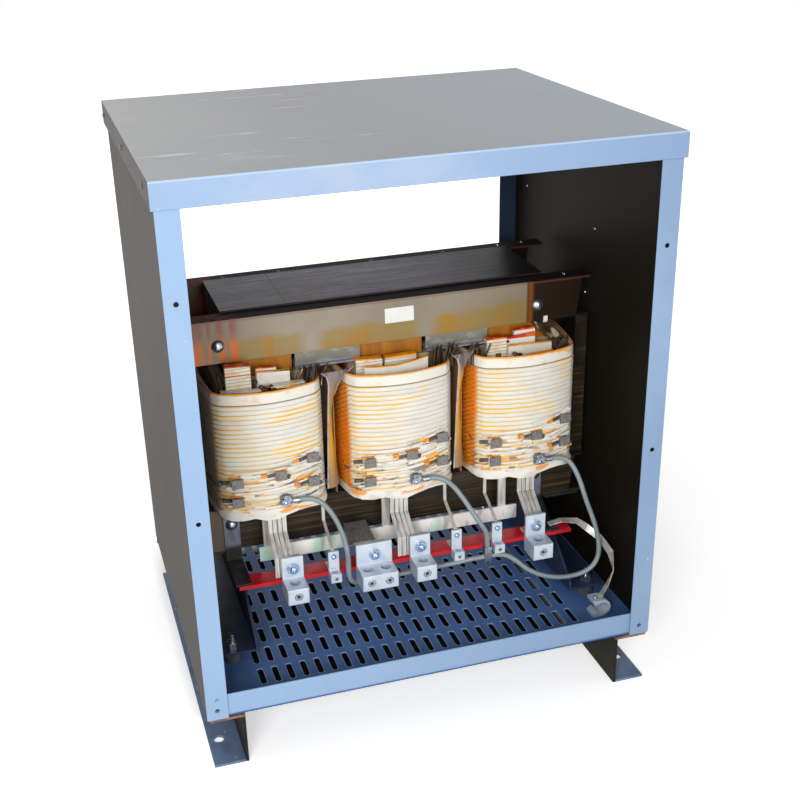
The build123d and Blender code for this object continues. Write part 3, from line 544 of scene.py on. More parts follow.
# %% Collar and band paper
paper = Look("collar_paper", tone(234, 229, 215), 0.6)
paper.layer(paper.patches(0.55, 0.68, 40, (1, 1, 2), 4, 5), tone(232, 190, 96), 0.7)
edge_wave = paper.math("MULTIPLY", paper.math("SUBTRACT", paper.noise(40, (1, 1, 0.1), 2, 1), 0.5), 0.004)
lifted = paper.math("ADD", paper.z, edge_wave)
paper.layer(paper.over(lifted, COLLAR_Z + 0.0165, COLLAR_Z + 0.0178), tone(240, 150, 16), 0.95)
paper.layer(paper.over(paper.z, COLLAR_Z + 0.0020, COLLAR_Z + 0.0012), tone(112, 106, 112), 0.9)
collar_paper = paper.done(height=paper.noise(90), depth=0.0004)

band = Look("band_paper", tone(232, 228, 220), 0.6)
band.layer(band.patches(0.52, 0.66, 30, (1, 1, 3), 4, 5), tone(206, 198, 184), 0.8)
soaked = band.both(band.patches(0.57, 0.60, 26, (1, 1, 3), 3, 2), band.over(band.z, 0.312, 0.318))
band.layer(soaked, tone(240, 150, 24), 0.9)
band_paper = band.done(height=band.noise(60), depth=0.0008)

# %% [markdown]
# ## The inner winding and the sticks
# The inner winding shows in the open top of each coil as a stack of layers, and brown
# sticks keep the air duct round it open. A noise that is stretched along one axis gives
# the run of the layers and the grain of the sticks, which an even noise could not do.

# %% Inner winding and sticks
inner = Look("inner_strap", tone(196, 184, 156), 0.55)
inner.layer(inner.patches(0.4, 0.65, 30, (1, 1, 4), 4, 3), tone(120, 84, 48), 0.7)
layers = inner.over(inner.math("PINGPONG", inner.z, 0.004), 0.001, 0.0004)
inner.layer(layers, tone(214, 130, 24), 0.8)
inner_strap = inner.done(height=inner.noise(120), depth=0.0005)
dress(["inner_windings"], inner_strap)

stick = Look("insulation", tone(120, 90, 52), 0.45)
stick.layer(stick.patches(0.45, 0.6, 40, (1, 1, 0.3), 3, 3), tone(70, 52, 40), 0.8)
stick.layer(stick.patches(0.56, 0.66, 25, (1, 1, 1), 3, 8), tone(210, 190, 150), 0.6)
insulation = stick.done(height=stick.noise(90), depth=0.0004)
dress(["duct_sticks"], insulation)

# %% [markdown]
# ## The boards and barriers
# Ochre blocks stand between coils and clamps, grey-green channels lie along the yoke, and
# a yellowed sheet stands between each two coils. One look could serve all three, since
# their gloss is nearly the same, but each has its own colour and its own run of streaks.

# %% Boards and barriers
ochre = Look("end_block_wood", tone(170, 108, 18), 0.4)
ochre.layer(ochre.patches(0.46, 0.62, 40, (1.5, 1, 0.15), 3, 3), tone(150, 88, 14), 0.8)
ochre.layer(ochre.patches(0.60, 0.66, 60, (2, 1, 0.1), 2, 8), tone(206, 106, 10), 0.6)
end_block_wood = ochre.done(height=ochre.noise(80, (1, 1, 0.2)), depth=0.0003)
dress(["end_blocks"], end_block_wood)

grey_board = Look("channel_board", tone(120, 118, 104), 0.4)
grey_board.layer(grey_board.over(grey_board.z, 0.5328, 0.5312), tone(142, 138, 158))
grey_board.layer(grey_board.patches(0.5, 0.66, 50, (1, 1, 2)), tone(158, 160, 148), 0.6)
channel_board = grey_board.done(height=grey_board.noise(60), depth=0.0003, edge=0.0006)
dress(["yoke_channels"], channel_board)

sheet = Look("barrier_sheet", tone(196, 134, 44), 0.35)
sheet.layer(sheet.patches(0.42, 0.62, 18, (1, 1, 0.3), 4, 2), tone(134, 110, 84), 0.85)
# Painted shade: the sheet is painted darker towards the bottom, deep between the coils.
sheet.layer(sheet.over(sheet.z, 0.36, 0.33), tone(110, 92, 84), 0.7)
barrier_sheet = sheet.done(height=sheet.noise(40), depth=0.0006)
dress(["phase_barriers"], barrier_sheet)

# %% [markdown]
# ## The terminals and what carries the current
# The tabs are dull and pitted. The terminal board is glossy red, the lugs are pale
# tinned aluminium, the leads are rolled strip, and the long bar is nearly white with
# green patches. Metal could be fully metallic, but in a white room that turns it into a
# mirror of nothing. A metallic share of a third keeps its own colour in view.

# %% Terminals and conductors
tab = Look("tab_metal", tone(128, 125, 122), 0.5, 0.35)
tab.layer(tab.patches(0.45, 0.62, 240), tone(92, 88, 86), 0.7)
tab.layer(tab.specks(200, 0.10, 2), tone(176, 150, 112), 0.8)
tab_metal = tab.done(height=tab.noise(300), depth=0.0003, edge=0.0006)
dress(["tap_tabs", "neutral_link"], tab_metal)

red = Look("board_red", tone(206, 8, 30), 0.3)
red.layer(red.patches(0.42, 0.66, 16, (1, 1, 1), 3, 2), tone(172, 4, 24), 0.8)
worn_top = red.both(red.over(red.z, 0.2125, 0.2128), red.patches(0.52, 0.62, 30))
red.layer(worn_top, tone(206, 40, 60), 0.7)
red.layer(red.specks(160, 0.02), tone(240, 190, 190), 0.8)
board_red = red.done(height=red.noise(90), depth=0.0002, edge=0.0008)
dress(["terminal_board"], board_red)

tinned = Look("lug_metal", tone(206, 216, 228), 0.36, 0.30)
tinned.layer(tinned.patches(0.45, 0.66, 50, (1, 1, 1), 3, 3), tone(186, 198, 212), 0.7)
tinned.layer(tinned.specks(220, 0.02, 1), tone(104, 108, 118), 0.6)
lug_metal = tinned.done(height=tinned.noise(160), depth=0.00005, edge=0.0014)
dress(["left_line_lug", "double_lug", "middle_line_lug", "right_line_lug"], lug_metal)
dress(["small_lugs", "ground_lug"], lug_metal)

rolled = Look("strip_metal", tone(216, 214, 208), 0.38, 0.35)
rolled.layer(rolled.patches(0.42, 0.64, 60, (3, 1, 0.3), 4, 3), tone(150, 146, 142), 0.7)
rolled.layer(rolled.patches(0.62, 0.68, 25, (1, 1, 1), 4, 8), tone(176, 152, 112), 0.4)
strip_metal = rolled.done(height=rolled.noise(200, (1, 1, 0.3)), depth=0.00015, edge=0.0006)
dress(["lug_brackets", "secondary_leads", "neutral_leads", "primary_leads", "ground_strap"], strip_metal)

bar = Look("bar_metal", tone(252, 250, 244), 0.35, 0.1)
bar.layer(bar.patches(0.48, 0.58, 22, (1, 1, 0.2), 2, 3), tone(196, 238, 216), 0.9)
bar.layer(bar.patches(0.60, 0.66, 40, (1, 1, 0.3), 3, 9), tone(150, 156, 150), 0.6)
bar_metal = bar.done(height=bar.noise(30), depth=0.0004, edge=0.0006)
dress(["neutral_bar"], bar_metal)

# %% [markdown]
# ## The cables' sheath and the plate
# The sheath of the jumper cables is smooth grey-green plastic. The plate on the upper
# clamp is plain white card.

# %% Sheath and plate
sheath = Look("cable_sheath", tone(138, 152, 156), 0.42)
sheath.layer(sheath.patches(0.4, 0.7, 30), tone(112, 126, 132), 0.7)
cable_sheath = sheath.done(height=sheath.noise(300), depth=0.0001)

white = Look("plate_white", tone(232, 231, 228), 0.5)
white.layer(white.patches(0.5, 0.75, 60), tone(212, 210, 206), 0.7)
plate_white = white.done()
dress(["data_plate"], plate_white)

# %% [markdown]
# ## Helpers for pieces
# Each piece is started as a primitive, shaped in edit mode, and then handed over: it gets
# its look and it rides on the part's one body. An operator acts on all that is selected, so
# each step first leaves nothing selected.


# %% Helpers for pieces
def rest_selection():
    """Leaves nothing selected."""
    if bpy.context.mode != "OBJECT":
        bpy.ops.object.mode_set(mode="OBJECT")
    bpy.ops.object.select_all(action="DESELECT")


def hand_over(piece, name, material, node=None, smooth=35):
    """Names a finished piece, dresses it, and hides the part that it stands for, if one is given."""
    rest_selection()
    piece.name = name
    piece.data.name = name
    piece.select_set(True)
    bpy.context.view_layer.objects.active = piece
    bpy.ops.object.transform_apply(location=True, rotation=True, scale=True)
    if smooth:
        bpy.ops.object.shade_smooth_by_angle(angle=math.radians(smooth))
    piece.data.materials.clear()
    piece.data.materials.append(material)
    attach(piece, "root")
    if node:
        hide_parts(node)
    print(name, "with", len(piece.data.polygons), "faces")


def pick(piece, test):
    """Selects the points of the open mesh that pass the test, and nothing else."""
    bpy.ops.object.mode_set(mode="OBJECT")
    for part in (piece.data.polygons, piece.data.edges, piece.data.vertices):
        for item in part:
            item.select = False
    for vertex in piece.data.vertices:
        vertex.select = bool(test(vertex.co))
    bpy.ops.object.mode_set(mode="EDIT")


def slide(piece, test, offset):
    """Picks points and moves them."""
    pick(piece, test)
    bpy.ops.transform.translate(value=offset)


# %% [markdown]
# ## The outline of a coil
# Seen from above, a coil is a rectangle with rounded corners whose four sides bow out,
# because the strap was wound under tension round a square core. A curve could give this
# outline, but points in a mesh loop can be drawn up into a wall afterwards. So a plane
# gets its corners bevelled, its face deleted and its sides cut finer, and each point is
# then slid outwards along a parabola.

# %% Outline of a coil
CORE_Y = 0.040
HALF_X, HALF_Y, BOW, SIDE_BOW = 0.082, 0.145, 0.020, 0.014
CORNER = 0.013
FULL_X, FULL_Y = HALF_X + SIDE_BOW, HALF_Y + BOW
SAME = 0.00015


def steps(values):
    """The values in order, with those closer than 0.3 mm taken as one."""
    kept = []
    for value in sorted(values):
        if not kept or value - kept[-1] > 2 * SAME:
            kept.append(value)
    return kept


def bow_ends(loop, half_x, half_y, x):
    """Slides the points of the front and the back outwards, column by column."""
    for column in steps(v.co.x for v in loop.data.vertices):
        rise = BOW * (1 - ((column - x) / half_x) ** 2)
        for way in (-1, 1):

            def at_column(co):
                return abs(co.x - column) < SAME and (co.y - CORE_Y) * way > half_y * 0.85

            slide(loop, at_column, (0, way * rise, 0))
    bpy.ops.object.mode_set(mode="OBJECT")


def bow_sides(loop, half_x, half_y, x):
    """Slides the points of the left and the right outwards, row by row."""
    for row in steps(v.co.y for v in loop.data.vertices if abs(v.co.x - x) > half_x * 0.98):
        rise = SIDE_BOW * max(0, 1 - ((row - CORE_Y) / half_y) ** 2)
        for way in (-1, 1):

            def at_row(co):
                return abs(co.y - row) < SAME and (co.x - x) * way > half_x * 0.98

            slide(loop, at_row, (way * rise, 0, 0))


def outline(name, x, z, half_x=HALF_X, half_y=HALF_Y):
    """An open loop of points round a leg of the core, left selected in edit mode."""
    rest_selection()
    bpy.ops.mesh.primitive_plane_add(size=2, location=(x, CORE_Y, z))
    loop = bpy.context.object
    loop.name = name
    loop.scale = (half_x, half_y, 1)
    bpy.ops.object.transform_apply(location=True, rotation=True, scale=True)
    bpy.ops.object.mode_set(mode="EDIT")
    bpy.ops.mesh.select_all(action="SELECT")
    bpy.ops.mesh.bevel(affect="VERTICES", offset=CORNER, segments=5)
    bpy.ops.mesh.delete(type="ONLY_FACE")
    for y in (CORE_Y - half_y, CORE_Y + half_y):
        pick(loop, lambda co: abs(co.y - y) < 0.00001)
        bpy.ops.mesh.subdivide(number_cuts=15)
    for side_x in (x - half_x, x + half_x):
        pick(loop, lambda co: abs(co.x - side_x) < 0.00001)
        bpy.ops.mesh.subdivide(number_cuts=11)
    bpy.ops.object.mode_set(mode="OBJECT")
    bow_ends(loop, half_x, half_y, x)
    bow_sides(loop, half_x, half_y, x)
    bpy.ops.mesh.select_all(action="SELECT")
    return loop


def swell(middle, factors):
    """Scales what is selected about the coil's middle."""
    bpy.ops.transform.resize(value=(*factors, 1), center_override=middle)


def draw_up(dz, middle, factors=(1, 1)):
    """Extrudes the selected loop by dz and scales it about the coil's middle."""
    bpy.ops.mesh.extrude_edges_move(TRANSFORM_OT_translate={"value": (0, 0, dz)})
    if factors != (1, 1):
        swell(middle, factors)


def inward(depth):
    """The two factors that move the coil's wall inwards by a depth."""
    return (FULL_X - depth) / FULL_X, (FULL_Y - depth) / FULL_Y


# %% [markdown]
# ## The wound coils
# On the real coil one strap is wound edge over edge, and each turn shows as a rounded
# rib. Ribs could be carved by a bump, but they make the outline at the sides. So one turn
# is drawn up from the outline with both edges rounded, and an array stacks it up to the
# collar. The flat top, the bore and the foot are drawn on from the last turn.

# %% Coils
TURN_SHAPE = (
    (0.0005, 0.0009),
    (0.0012, 0.0005),
    (0.0041, 0.0),
    (0.0012, -0.0005),
    (0.0005, -0.0009),
)
BORE_X, BORE_Y = 0.083, 0.142
TOP_SHARE = (BORE_X / FULL_X, BORE_Y / FULL_Y)
FOOT_SHARE = (0.0946 / 0.082, 0.1636 / 0.141)


def wind_coil(side_name, x):
    """The stack of turns with its top, its bore and its foot."""
    middle = (x, CORE_Y, 0)
    coil = outline(side_name + "_coil", x, FOOT_Z)
    swell(middle, inward(0.0014))
    for step, depth in TURN_SHAPE:
        draw_up(step, middle, inward(-depth))
    bpy.ops.object.mode_set(mode="OBJECT")
    repeat = coil.modifiers.new("turns", "ARRAY")
    repeat.count = TURNS
    repeat.use_relative_offset = False
    repeat.use_constant_offset = True
    repeat.constant_offset_displace = (0, 0, PITCH_Z)
    repeat.use_merge_vertices = True
    repeat.merge_threshold = 0.0002
    bpy.ops.object.modifier_apply(modifier="turns")
    pick(coil, lambda co: co.z > COLLAR_Z - 0.0001)
    draw_up(0.0005, middle, inward(0.0020))
    draw_up(0.0, middle, TOP_SHARE)
    draw_up(FOOT_Z - COLLAR_Z - 0.0005, middle)
    draw_up(0.0, middle, FOOT_SHARE)
    bpy.ops.mesh.select_all(action="SELECT")
    bpy.ops.mesh.remove_doubles(threshold=0.0002)
    bpy.ops.mesh.normals_make_consistent(inside=False)
    node = side_name + "_outer_winding"
    hand_over(coil, side_name + "_coil", wound_strap, node, smooth=50)


for side_name, coil_x in COILS.items():
    wind_coil(side_name, coil_x)

# %% [markdown]
# ## The collar and the foot band
# Paper is wrapped round both ends of each coil. The wraps could be cut from the coil's own
# faces, but as pieces of their own they get an edge that stands off the turns. Both are
# drawn up from the same outline as the turns, so they follow its bow.


# %% Collars and foot bands
def wrap_collar(side_name, x):
    """The paper collar round the top: a thin wall with a rolled foot and a thin rim."""
    middle = (x, CORE_Y, 0)
    collar = outline(side_name + "_collar", x, COLLAR_Z + 0.0004)
    swell(middle, inward(0.0016))
    draw_up(0.0018, middle)
    draw_up(0.0002, middle, inward(-0.0010))
    draw_up(0.0172, middle, inward(0.0008))
    draw_up(0.0, middle, inward(0.0018))
    draw_up(-0.0192, middle)
    hand_over(collar, side_name + "_collar", collar_paper, smooth=40)


def wrap_foot_band(side_name, x):
    """The band round the foot, whose lower edge is wavy at the front."""
    middle = (x, CORE_Y, 0)
    wrap = outline(side_name + "_foot_band", x, FOOT_Z + 0.0050)
    swell(middle, inward(-0.0004))
    draw_up(-0.0060, middle, inward(-0.0018))
    draw_up(-0.0055, middle, inward(0.0006))
    draw_up(-0.0005, middle, inward(0.0060))
    for dip_x, dip in ((-0.06, -0.0035), (-0.01, -0.0050), (0.045, 0.0030)):
        for reach in (0.022, 0.011):

            def near_dip(co):
                low_front = co.y < -0.08 and co.z < FOOT_Z - 0.004
                return low_front and abs(co.x - x - dip_x) < reach

            slide(wrap, near_dip, (0, 0, dip / 2))
    hand_over(wrap, side_name + "_foot_band", band_paper, smooth=60)


for side_name, coil_x in COILS.items():
    wrap_collar(side_name, coil_x)
    wrap_foot_band(side_name, coil_x)

# %% [markdown]
# ## Small shapes
# Screws, strap ends and papers all come from three helpers: a block, a screw head and a
# thin sheet. A sheet starts as a small flat grid, and each of its points is slid to its
# place, so that it can curl and lean. A subdivided plane with a noise would be quicker,
# but then it would be left to chance where an edge ends.


# %% Small shapes
def block(centre, size, tilt=0.0, swing=0.0):
    """A block turned by a tilt about Y and then a swing about Z, in degrees."""
    rest_selection()
    bpy.ops.mesh.primitive_cube_add(size=1, location=centre)
    piece = bpy.context.object
    piece.scale = size
    bpy.ops.object.transform_apply(location=False, rotation=False, scale=True)
    piece.rotation_euler = (0, math.radians(tilt), math.radians(swing))
    return piece


QUARTER = math.pi / 2
AXIS_TURN = {"X": (0, QUARTER, 0), "Y": (QUARTER, 0, 0), "Z": (0, 0, 0)}


def screw(centre, radius, depth, axis="Y", sides=24, dome=False):
    """A screw head whose axis is X, Y or Z; a dome is a flattened ball."""
    rest_selection()
    if dome:
        bpy.ops.mesh.primitive_uv_sphere_add(segments=20, ring_count=12, radius=1, location=centre)
        bpy.context.object.scale = [depth if axis == a else radius for a in "XYZ"]
    else:
        bpy.ops.mesh.primitive_cylinder_add(vertices=sides, radius=radius, depth=depth, location=centre)
        bpy.context.object.rotation_euler = AXIS_TURN[axis]
    bpy.ops.object.transform_apply(location=False, rotation=True, scale=True)
    return bpy.context.object


def sheet_of(rows, thick=0.0008):
    """A thin sheet through rows of points, each row from left to right."""
    rest_selection()
    wide, tall = len(rows[0]), len(rows)
    points = [Vector(point) for row in rows for point in row]
    bpy.ops.mesh.primitive_grid_add(
        x_subdivisions=wide - 1, y_subdivisions=tall - 1, size=0.01, location=points[0]
    )
    piece = bpy.context.object
    bpy.ops.object.transform_apply(location=True)
    corners = piece.data.vertices
    for number, point in enumerate(points):
        bpy.ops.object.mode_set(mode="EDIT")
        bpy.ops.mesh.select_all(action="DESELECT")
        bpy.ops.object.mode_set(mode="OBJECT")
        corners[number].select = True
        offset = point - corners[number].co
        bpy.ops.object.mode_set(mode="EDIT")
        bpy.ops.transform.translate(value=offset)
    bpy.ops.object.mode_set(mode="OBJECT")
    bpy.ops.object.modifier_add(type="SOLIDIFY")
    piece.modifiers[-1].thickness = thick
    piece.modifiers[-1].offset = 0
    bpy.ops.object.modifier_apply(modifier=piece.modifiers[-1].name)
    return piece


def one(pieces):
    """Joins pieces into one, with their turns applied."""
    rest_selection()
    for piece in pieces:
        piece.select_set(True)
    bpy.context.view_layer.objects.active = pieces[0]
    bpy.ops.object.transform_apply(location=True, rotation=True, scale=True)
    bpy.ops.object.join()
    return bpy.context.object


def front_of(dx):
    """Where the front of a coil is at dx from its middle, and the way it faces, in degrees."""
    y = CORE_Y - HALF_Y - BOW * (1 - (dx / HALF_X) ** 2)
    return y, math.degrees(math.atan(2 * BOW * dx / HALF_X**2))


def on_front(coil_x, dx, out, z, size, tilt, faces_at=None):
    """A block on the front of a coil, out from its face and turned the way the face looks."""
    y, swing = front_of(dx if faces_at is None else faces_at)
    return block((coil_x + dx, y - out, z), size, tilt, swing)


# %% [markdown]
# ## Looks of the loose strap, the leads and the tape
# The lifted turns are the same papered strap as the coil, but they were handled, so they
# are dirtier, with amber and brown lines along them. The crimped leads are dark, and their
# dark look also serves the small blocks of painted shadow under the taps. The bits of tape
# are orange.

# %% Looks of the taps
loose = Look("loose_strap", tone(236, 232, 222), 0.6)
loose.layer(loose.patches(0.5, 0.66, 30, (0.5, 1, 5), 4, 2), tone(212, 205, 190), 0.8)
loose.layer(loose.patches(0.57, 0.61, 34, (0.35, 1, 9), 3, 12), tone(246, 192, 50), 0.9)
loose.layer(loose.patches(0.62, 0.66, 60, (0.4, 1, 4), 3, 5), tone(110, 100, 88), 0.7)
loose_strap = loose.done(height=loose.noise(200), depth=0.0004)
crimp = Look("crimp_and_shadow_dark", tone(98, 92, 86), 0.5, 0.3)
crimp.layer(crimp.patches(0.45, 0.6, 200), tone(58, 52, 46), 0.8)
crimp_and_shadow_dark = crimp.done(height=crimp.noise(300), depth=0.0003)
tape = Look("orange_tape", tone(238, 150, 26), 0.45)
tape.layer(tape.patches(0.5, 0.62, 160), tone(196, 96, 20), 0.8)
orange_tape = tape.done()

# %% [markdown]
# ## The lifted turns and the tap leads
# Low on each coil, turns are lifted to let the taps out. Each lifted turn starts flat on
# the coil and climbs to the right. The coil's own turns could be bent up for this, but an
# array makes them all alike. So each lifted turn is a strip of three rows that is laid
# over them and follows the bowed front.

# %% Lifted turns
TAPS = ((0.060, 0.400), (0.010, 0.382), (-0.058, 0.375), (0.060, 0.360), (-0.058, 0.343))
LIFTS = (
    (0.398, 0.002, 0.013),
    (0.388, -0.062, 0.008),
    (0.379, -0.066, 0.012),
    (0.366, -0.066, 0.013),
    (0.352, -0.062, 0.012),
    (0.334, -0.066, 0.008),
    (0.327, -0.020, 0.007),
)
STRIP_ROWS = ((0.0022, 0.0044), (0.0034, 0.0022), (0.0022, 0.0))
STRIP_ENDS = ((0.004, -0.0120, 0.030), (-0.012, -0.0080, 0.024), (0.016, 0.010, 0.018))
LIFT_END = 0.069
LIFT_CUTS = 8
CRIMP_SIZE = (0.014, 0.004, 0.0050)
TAPE_SIZE = (0.009, 0.0044, 0.0056)


def lifted_turn(coil_x, z, start, climb):
    """A strip of strap that climbs from its start to the right side of the front."""
    rows = []
    for out, up in STRIP_ROWS:
        row = []
        for i in range(LIFT_CUTS + 1):
            dx = start + (LIFT_END - start) * i / LIFT_CUTS
            y, _ = front_of(dx)
            row.append((coil_x + dx, y - out, z + climb * (i / LIFT_CUTS) ** 1.6 + up))
        rows.append(row)
    return sheet_of(rows, 0.0014)


def left_of_tap(coil_x, dx, z, reach, size):
    """A block at some reach to the left of a tap, or none past the coil's edge."""
    if dx - reach < -0.079:
        return []
    faces_at = max(dx - reach, -0.074)
    height = z + chance.uniform(-0.001, 0.002)
    tilt = chance.uniform(-9, -2)
    return [on_front(coil_x, dx - reach, 0.0030, height, size, tilt, faces_at)]


print(len(LIFTS), "lifted turns and", len(TAPS), "taps on each coil")

# %% [markdown]
# ## The taps of the three coils
# Each tap has a dark crimped lead on its left with a bit of orange tape, and ends of white
# strap lie round it. A small dark block under its right end is a painted shadow. Every coil
# has the same taps, but copies would look stamped. So chance moves and turns each piece a
# little, and its fixed seed keeps the result the same.

# %% Taps
for side_name, coil_x in COILS.items():
    turns, leads_and_shadow_bits, tapes = [], [], []
    for z, start, climb in LIFTS:
        z += chance.uniform(-0.0015, 0.0015)
        turns.append(lifted_turn(coil_x, z, start, climb))
    for dx, z in TAPS:
        leads_and_shadow_bits += left_of_tap(coil_x, dx, z, 0.0165, CRIMP_SIZE)
        tapes += left_of_tap(coil_x, dx, z, 0.0275, TAPE_SIZE)
        tapes.append(on_front(coil_x, dx - 0.002, 0.0030, z + 0.0078, (0.020, 0.003, 0.0018), -3, dx))
        for shift, drop, length in STRIP_ENDS:
            spot = max(min(dx + shift + chance.uniform(-0.004, 0.004), 0.064), -0.062)
            size = (length, 0.0026, 0.0034 + chance.uniform(0, 0.0016))
            turns.append(on_front(coil_x, spot, 0.0036, z + drop, size, chance.uniform(-14, 6)))
        lead_x = dx - 0.010
        leads_and_shadow_bits.append(on_front(coil_x, lead_x, 0.0034, z - 0.0085, (0.008, 0.0022, 0.0022), 12))
        # Painted shadow: a small dark block under the tap's right end, in the crimp's dark look.
        shadow_bit_size = (0.0035, 0.0030, 0.0060)
        leads_and_shadow_bits.append(on_front(coil_x, dx + 0.0105, 0.0030, z - 0.0050, shadow_bit_size, 30, lead_x))
    hand_over(one(turns), side_name + "_loose_turns", loose_strap, smooth=40)
    hand_over(one(leads_and_shadow_bits), side_name + "_tap_leads_and_shadow_bits", crimp_and_shadow_dark, smooth=30)
    hand_over(one(tapes), side_name + "_tap_tape", orange_tape, smooth=30)

# %% [markdown]
# ## Looks of the papers
# Papers in the coil tops are off-white with yellow stains. A stack shows its single
# sheets as thin lines, and a soaked upper edge is orange or red. Papers that were dipped
# whole are dark brown, and a drop of hardened varnish is nearly black and shines.

# %% Looks of the papers
stack = Look("paper_stack", tone(232, 226, 208), 0.55)
stack.layer(stack.patches(0.5, 0.64, 60, (1, 1, 2), 3, 3), tone(222, 176, 80), 0.6)
single_sheets = stack.over(stack.math("PINGPONG", stack.z, 0.0026), 0.0009, 0.0004)
stack.layer(single_sheets, tone(150, 124, 90), 0.6)
paper_stack = stack.done(height=stack.noise(90), depth=0.0005)

card = Look("white_panel", tone(226, 222, 210), 0.5)
card.layer(card.patches(0.5, 0.64, 30, (1, 1, 1), 4, 5), tone(206, 200, 184), 0.7)
card.layer(card.patches(0.62, 0.66, 40, (1, 1, 0.6), 3, 15), tone(236, 180, 60), 0.7)
white_panel = card.done(height=card.noise(60), depth=0.0004)

soaked_orange = Look("orange_rim", tone(246, 150, 10), 0.45)
soaked_orange.layer(soaked_orange.patches(0.5, 0.62, 70), tone(250, 186, 60), 0.7)
orange_rim = soaked_orange.done()

soaked_red = Look("red_rim", tone(196, 48, 14), 0.45)
soaked_red.layer(soaked_red.patches(0.5, 0.62, 90), tone(236, 120, 20), 0.7)
red_rim = soaked_red.done()

dipped = Look("dark_paper", tone(78, 62, 46), 0.4)
dipped.layer(dipped.patches(0.46, 0.6, 60, (1, 1, 0.5), 3, 3), tone(38, 28, 20), 0.9)
dipped.layer(dipped.patches(0.58, 0.64, 45, (1, 1, 0.5), 3, 8), tone(206, 186, 150), 0.8)
dark_paper = dipped.done(height=dipped.noise(80), depth=0.0006)

drop_look = Look("varnish_lump", tone(66, 30, 34), 0.2)
drop_look.layer(drop_look.patches(0.5, 0.62, 150), tone(120, 78, 86), 0.7)
varnish_lump = drop_look.done(height=drop_look.noise(200), depth=0.0008)

# %% [markdown]
# ## Papers in the coil tops
# White panels with orange or red upper edges stand in front of the inner windings. They
# could be strewn by chance, but then none would match the photograph. So each is listed
# by its left and right end, its place from front to back, its heights and its thickness.

# %% Standing panels
RIM_HEIGHT = 0.002


def upright(x0, x1, y, bottom, top_left, top_right, thick):
    """A sheet that stands on edge, with a top edge that may slope."""
    return sheet_of([[(x0, y, top_left), (x1, y, top_right)], [(x0, y, bottom), (x1, y, bottom)]], thick)


stacks, panels, orange, crimson, fans, lumps = [], [], [], [], [], []
STANDING = (
    (-0.256, -0.218, -0.084, 0.500, 0.5515, 0.5495, 0.012, stacks, crimson),
    (-0.208, -0.158, -0.084, 0.508, 0.5360, 0.5330, 0.004, panels, orange),
    (-0.208, -0.177, -0.078, 0.508, 0.5400, 0.5385, 0.004, panels, crimson),
    (-0.054, -0.012, -0.076, 0.500, 0.5320, 0.5300, 0.012, stacks, orange),
    (-0.007, 0.043, -0.076, 0.500, 0.5290, 0.5300, 0.010, stacks, orange),
    (0.158, 0.191, -0.079, 0.495, 0.5375, 0.5375, 0.012, stacks, crimson),
    (0.207, 0.242, -0.073, 0.500, 0.5440, 0.5450, 0.006, panels, crimson),
    (0.190, 0.240, -0.079, 0.500, 0.5340, 0.5375, 0.006, panels, crimson),
    (0.191, 0.264, -0.091, 0.498, 0.5255, 0.5240, 0.003, panels, orange),
    (0.221, 0.264, -0.095, 0.498, 0.5080, 0.5100, 0.002, stacks, orange),
)
for x0, x1, y, bottom, left_top, right_top, thick, body, rim in STANDING:
    body.append(upright(x0, x1, y, bottom, left_top - RIM_HEIGHT, right_top - RIM_HEIGHT, thick))
    rim_foot = left_top - RIM_HEIGHT - 0.0002
    rim.append(upright(x0, x1, y - 0.0002, rim_foot, left_top, right_top, thick + 0.0004))
crimson.append(upright(-0.256, -0.218, -0.0844, 0.5345, 0.5365, 0.5352, 0.0124))

print(len(STANDING), "standing panels")

# %% [markdown]
# ## The bowed panel and the small papers
# The panel in the middle coil bows forwards, so it is a sheet of five columns, and its
# orange edge is a second, narrower one. A few small papers lie among the panels. They
# are plain blocks, each turned a little by chance, because only their edges show.

# %% Bowed panel and small papers
BOWED = (
    (-0.044, -0.094, 0.5235),
    (-0.022, -0.0985, 0.5225),
    (0.004, -0.100, 0.5220),
    (0.032, -0.0985, 0.5250),
    (0.057, -0.094, 0.5275),
)
panels.append(sheet_of([[(x, y, top) for x, y, top in BOWED], [(x, y, 0.498) for x, y, _ in BOWED]], 0.002))
upper = [(x, y - 0.0002, top + 0.0006) for x, y, top in BOWED]
lower = [(x, y - 0.0002, top - 0.0012) for x, y, top in BOWED]
orange.append(sheet_of([upper, lower], 0.0024))

LYING = (
    (-0.243, -0.094, 0.5135, (0.046, 0.012, 0.0018)),
    (-0.226, -0.098, 0.5110, (0.040, 0.008, 0.0040)),
    (-0.165, -0.095, 0.5150, (0.052, 0.012, 0.0018)),
    (-0.160, -0.099, 0.5120, (0.046, 0.006, 0.0026)),
    (0.262, -0.070, 0.5530, (0.007, 0.002, 0.010)),
)
for x, y, z, size in LYING:
    panels.append(block((x, y, z), size, chance.uniform(-3, 3), chance.uniform(-4, 4)))
print(len(BOWED), "columns in the bowed panel and", len(LYING), "small papers")

# %% [markdown]
# ## Fanned papers and drops of varnish
# The dark papers stand in fans of four to nine. One folded sheet would be lighter, but
# its folds would be even. So each paper is a sheet with its own lean, and their edges
# make an uneven comb. The drops are flattened balls where varnish hardened on a fold.

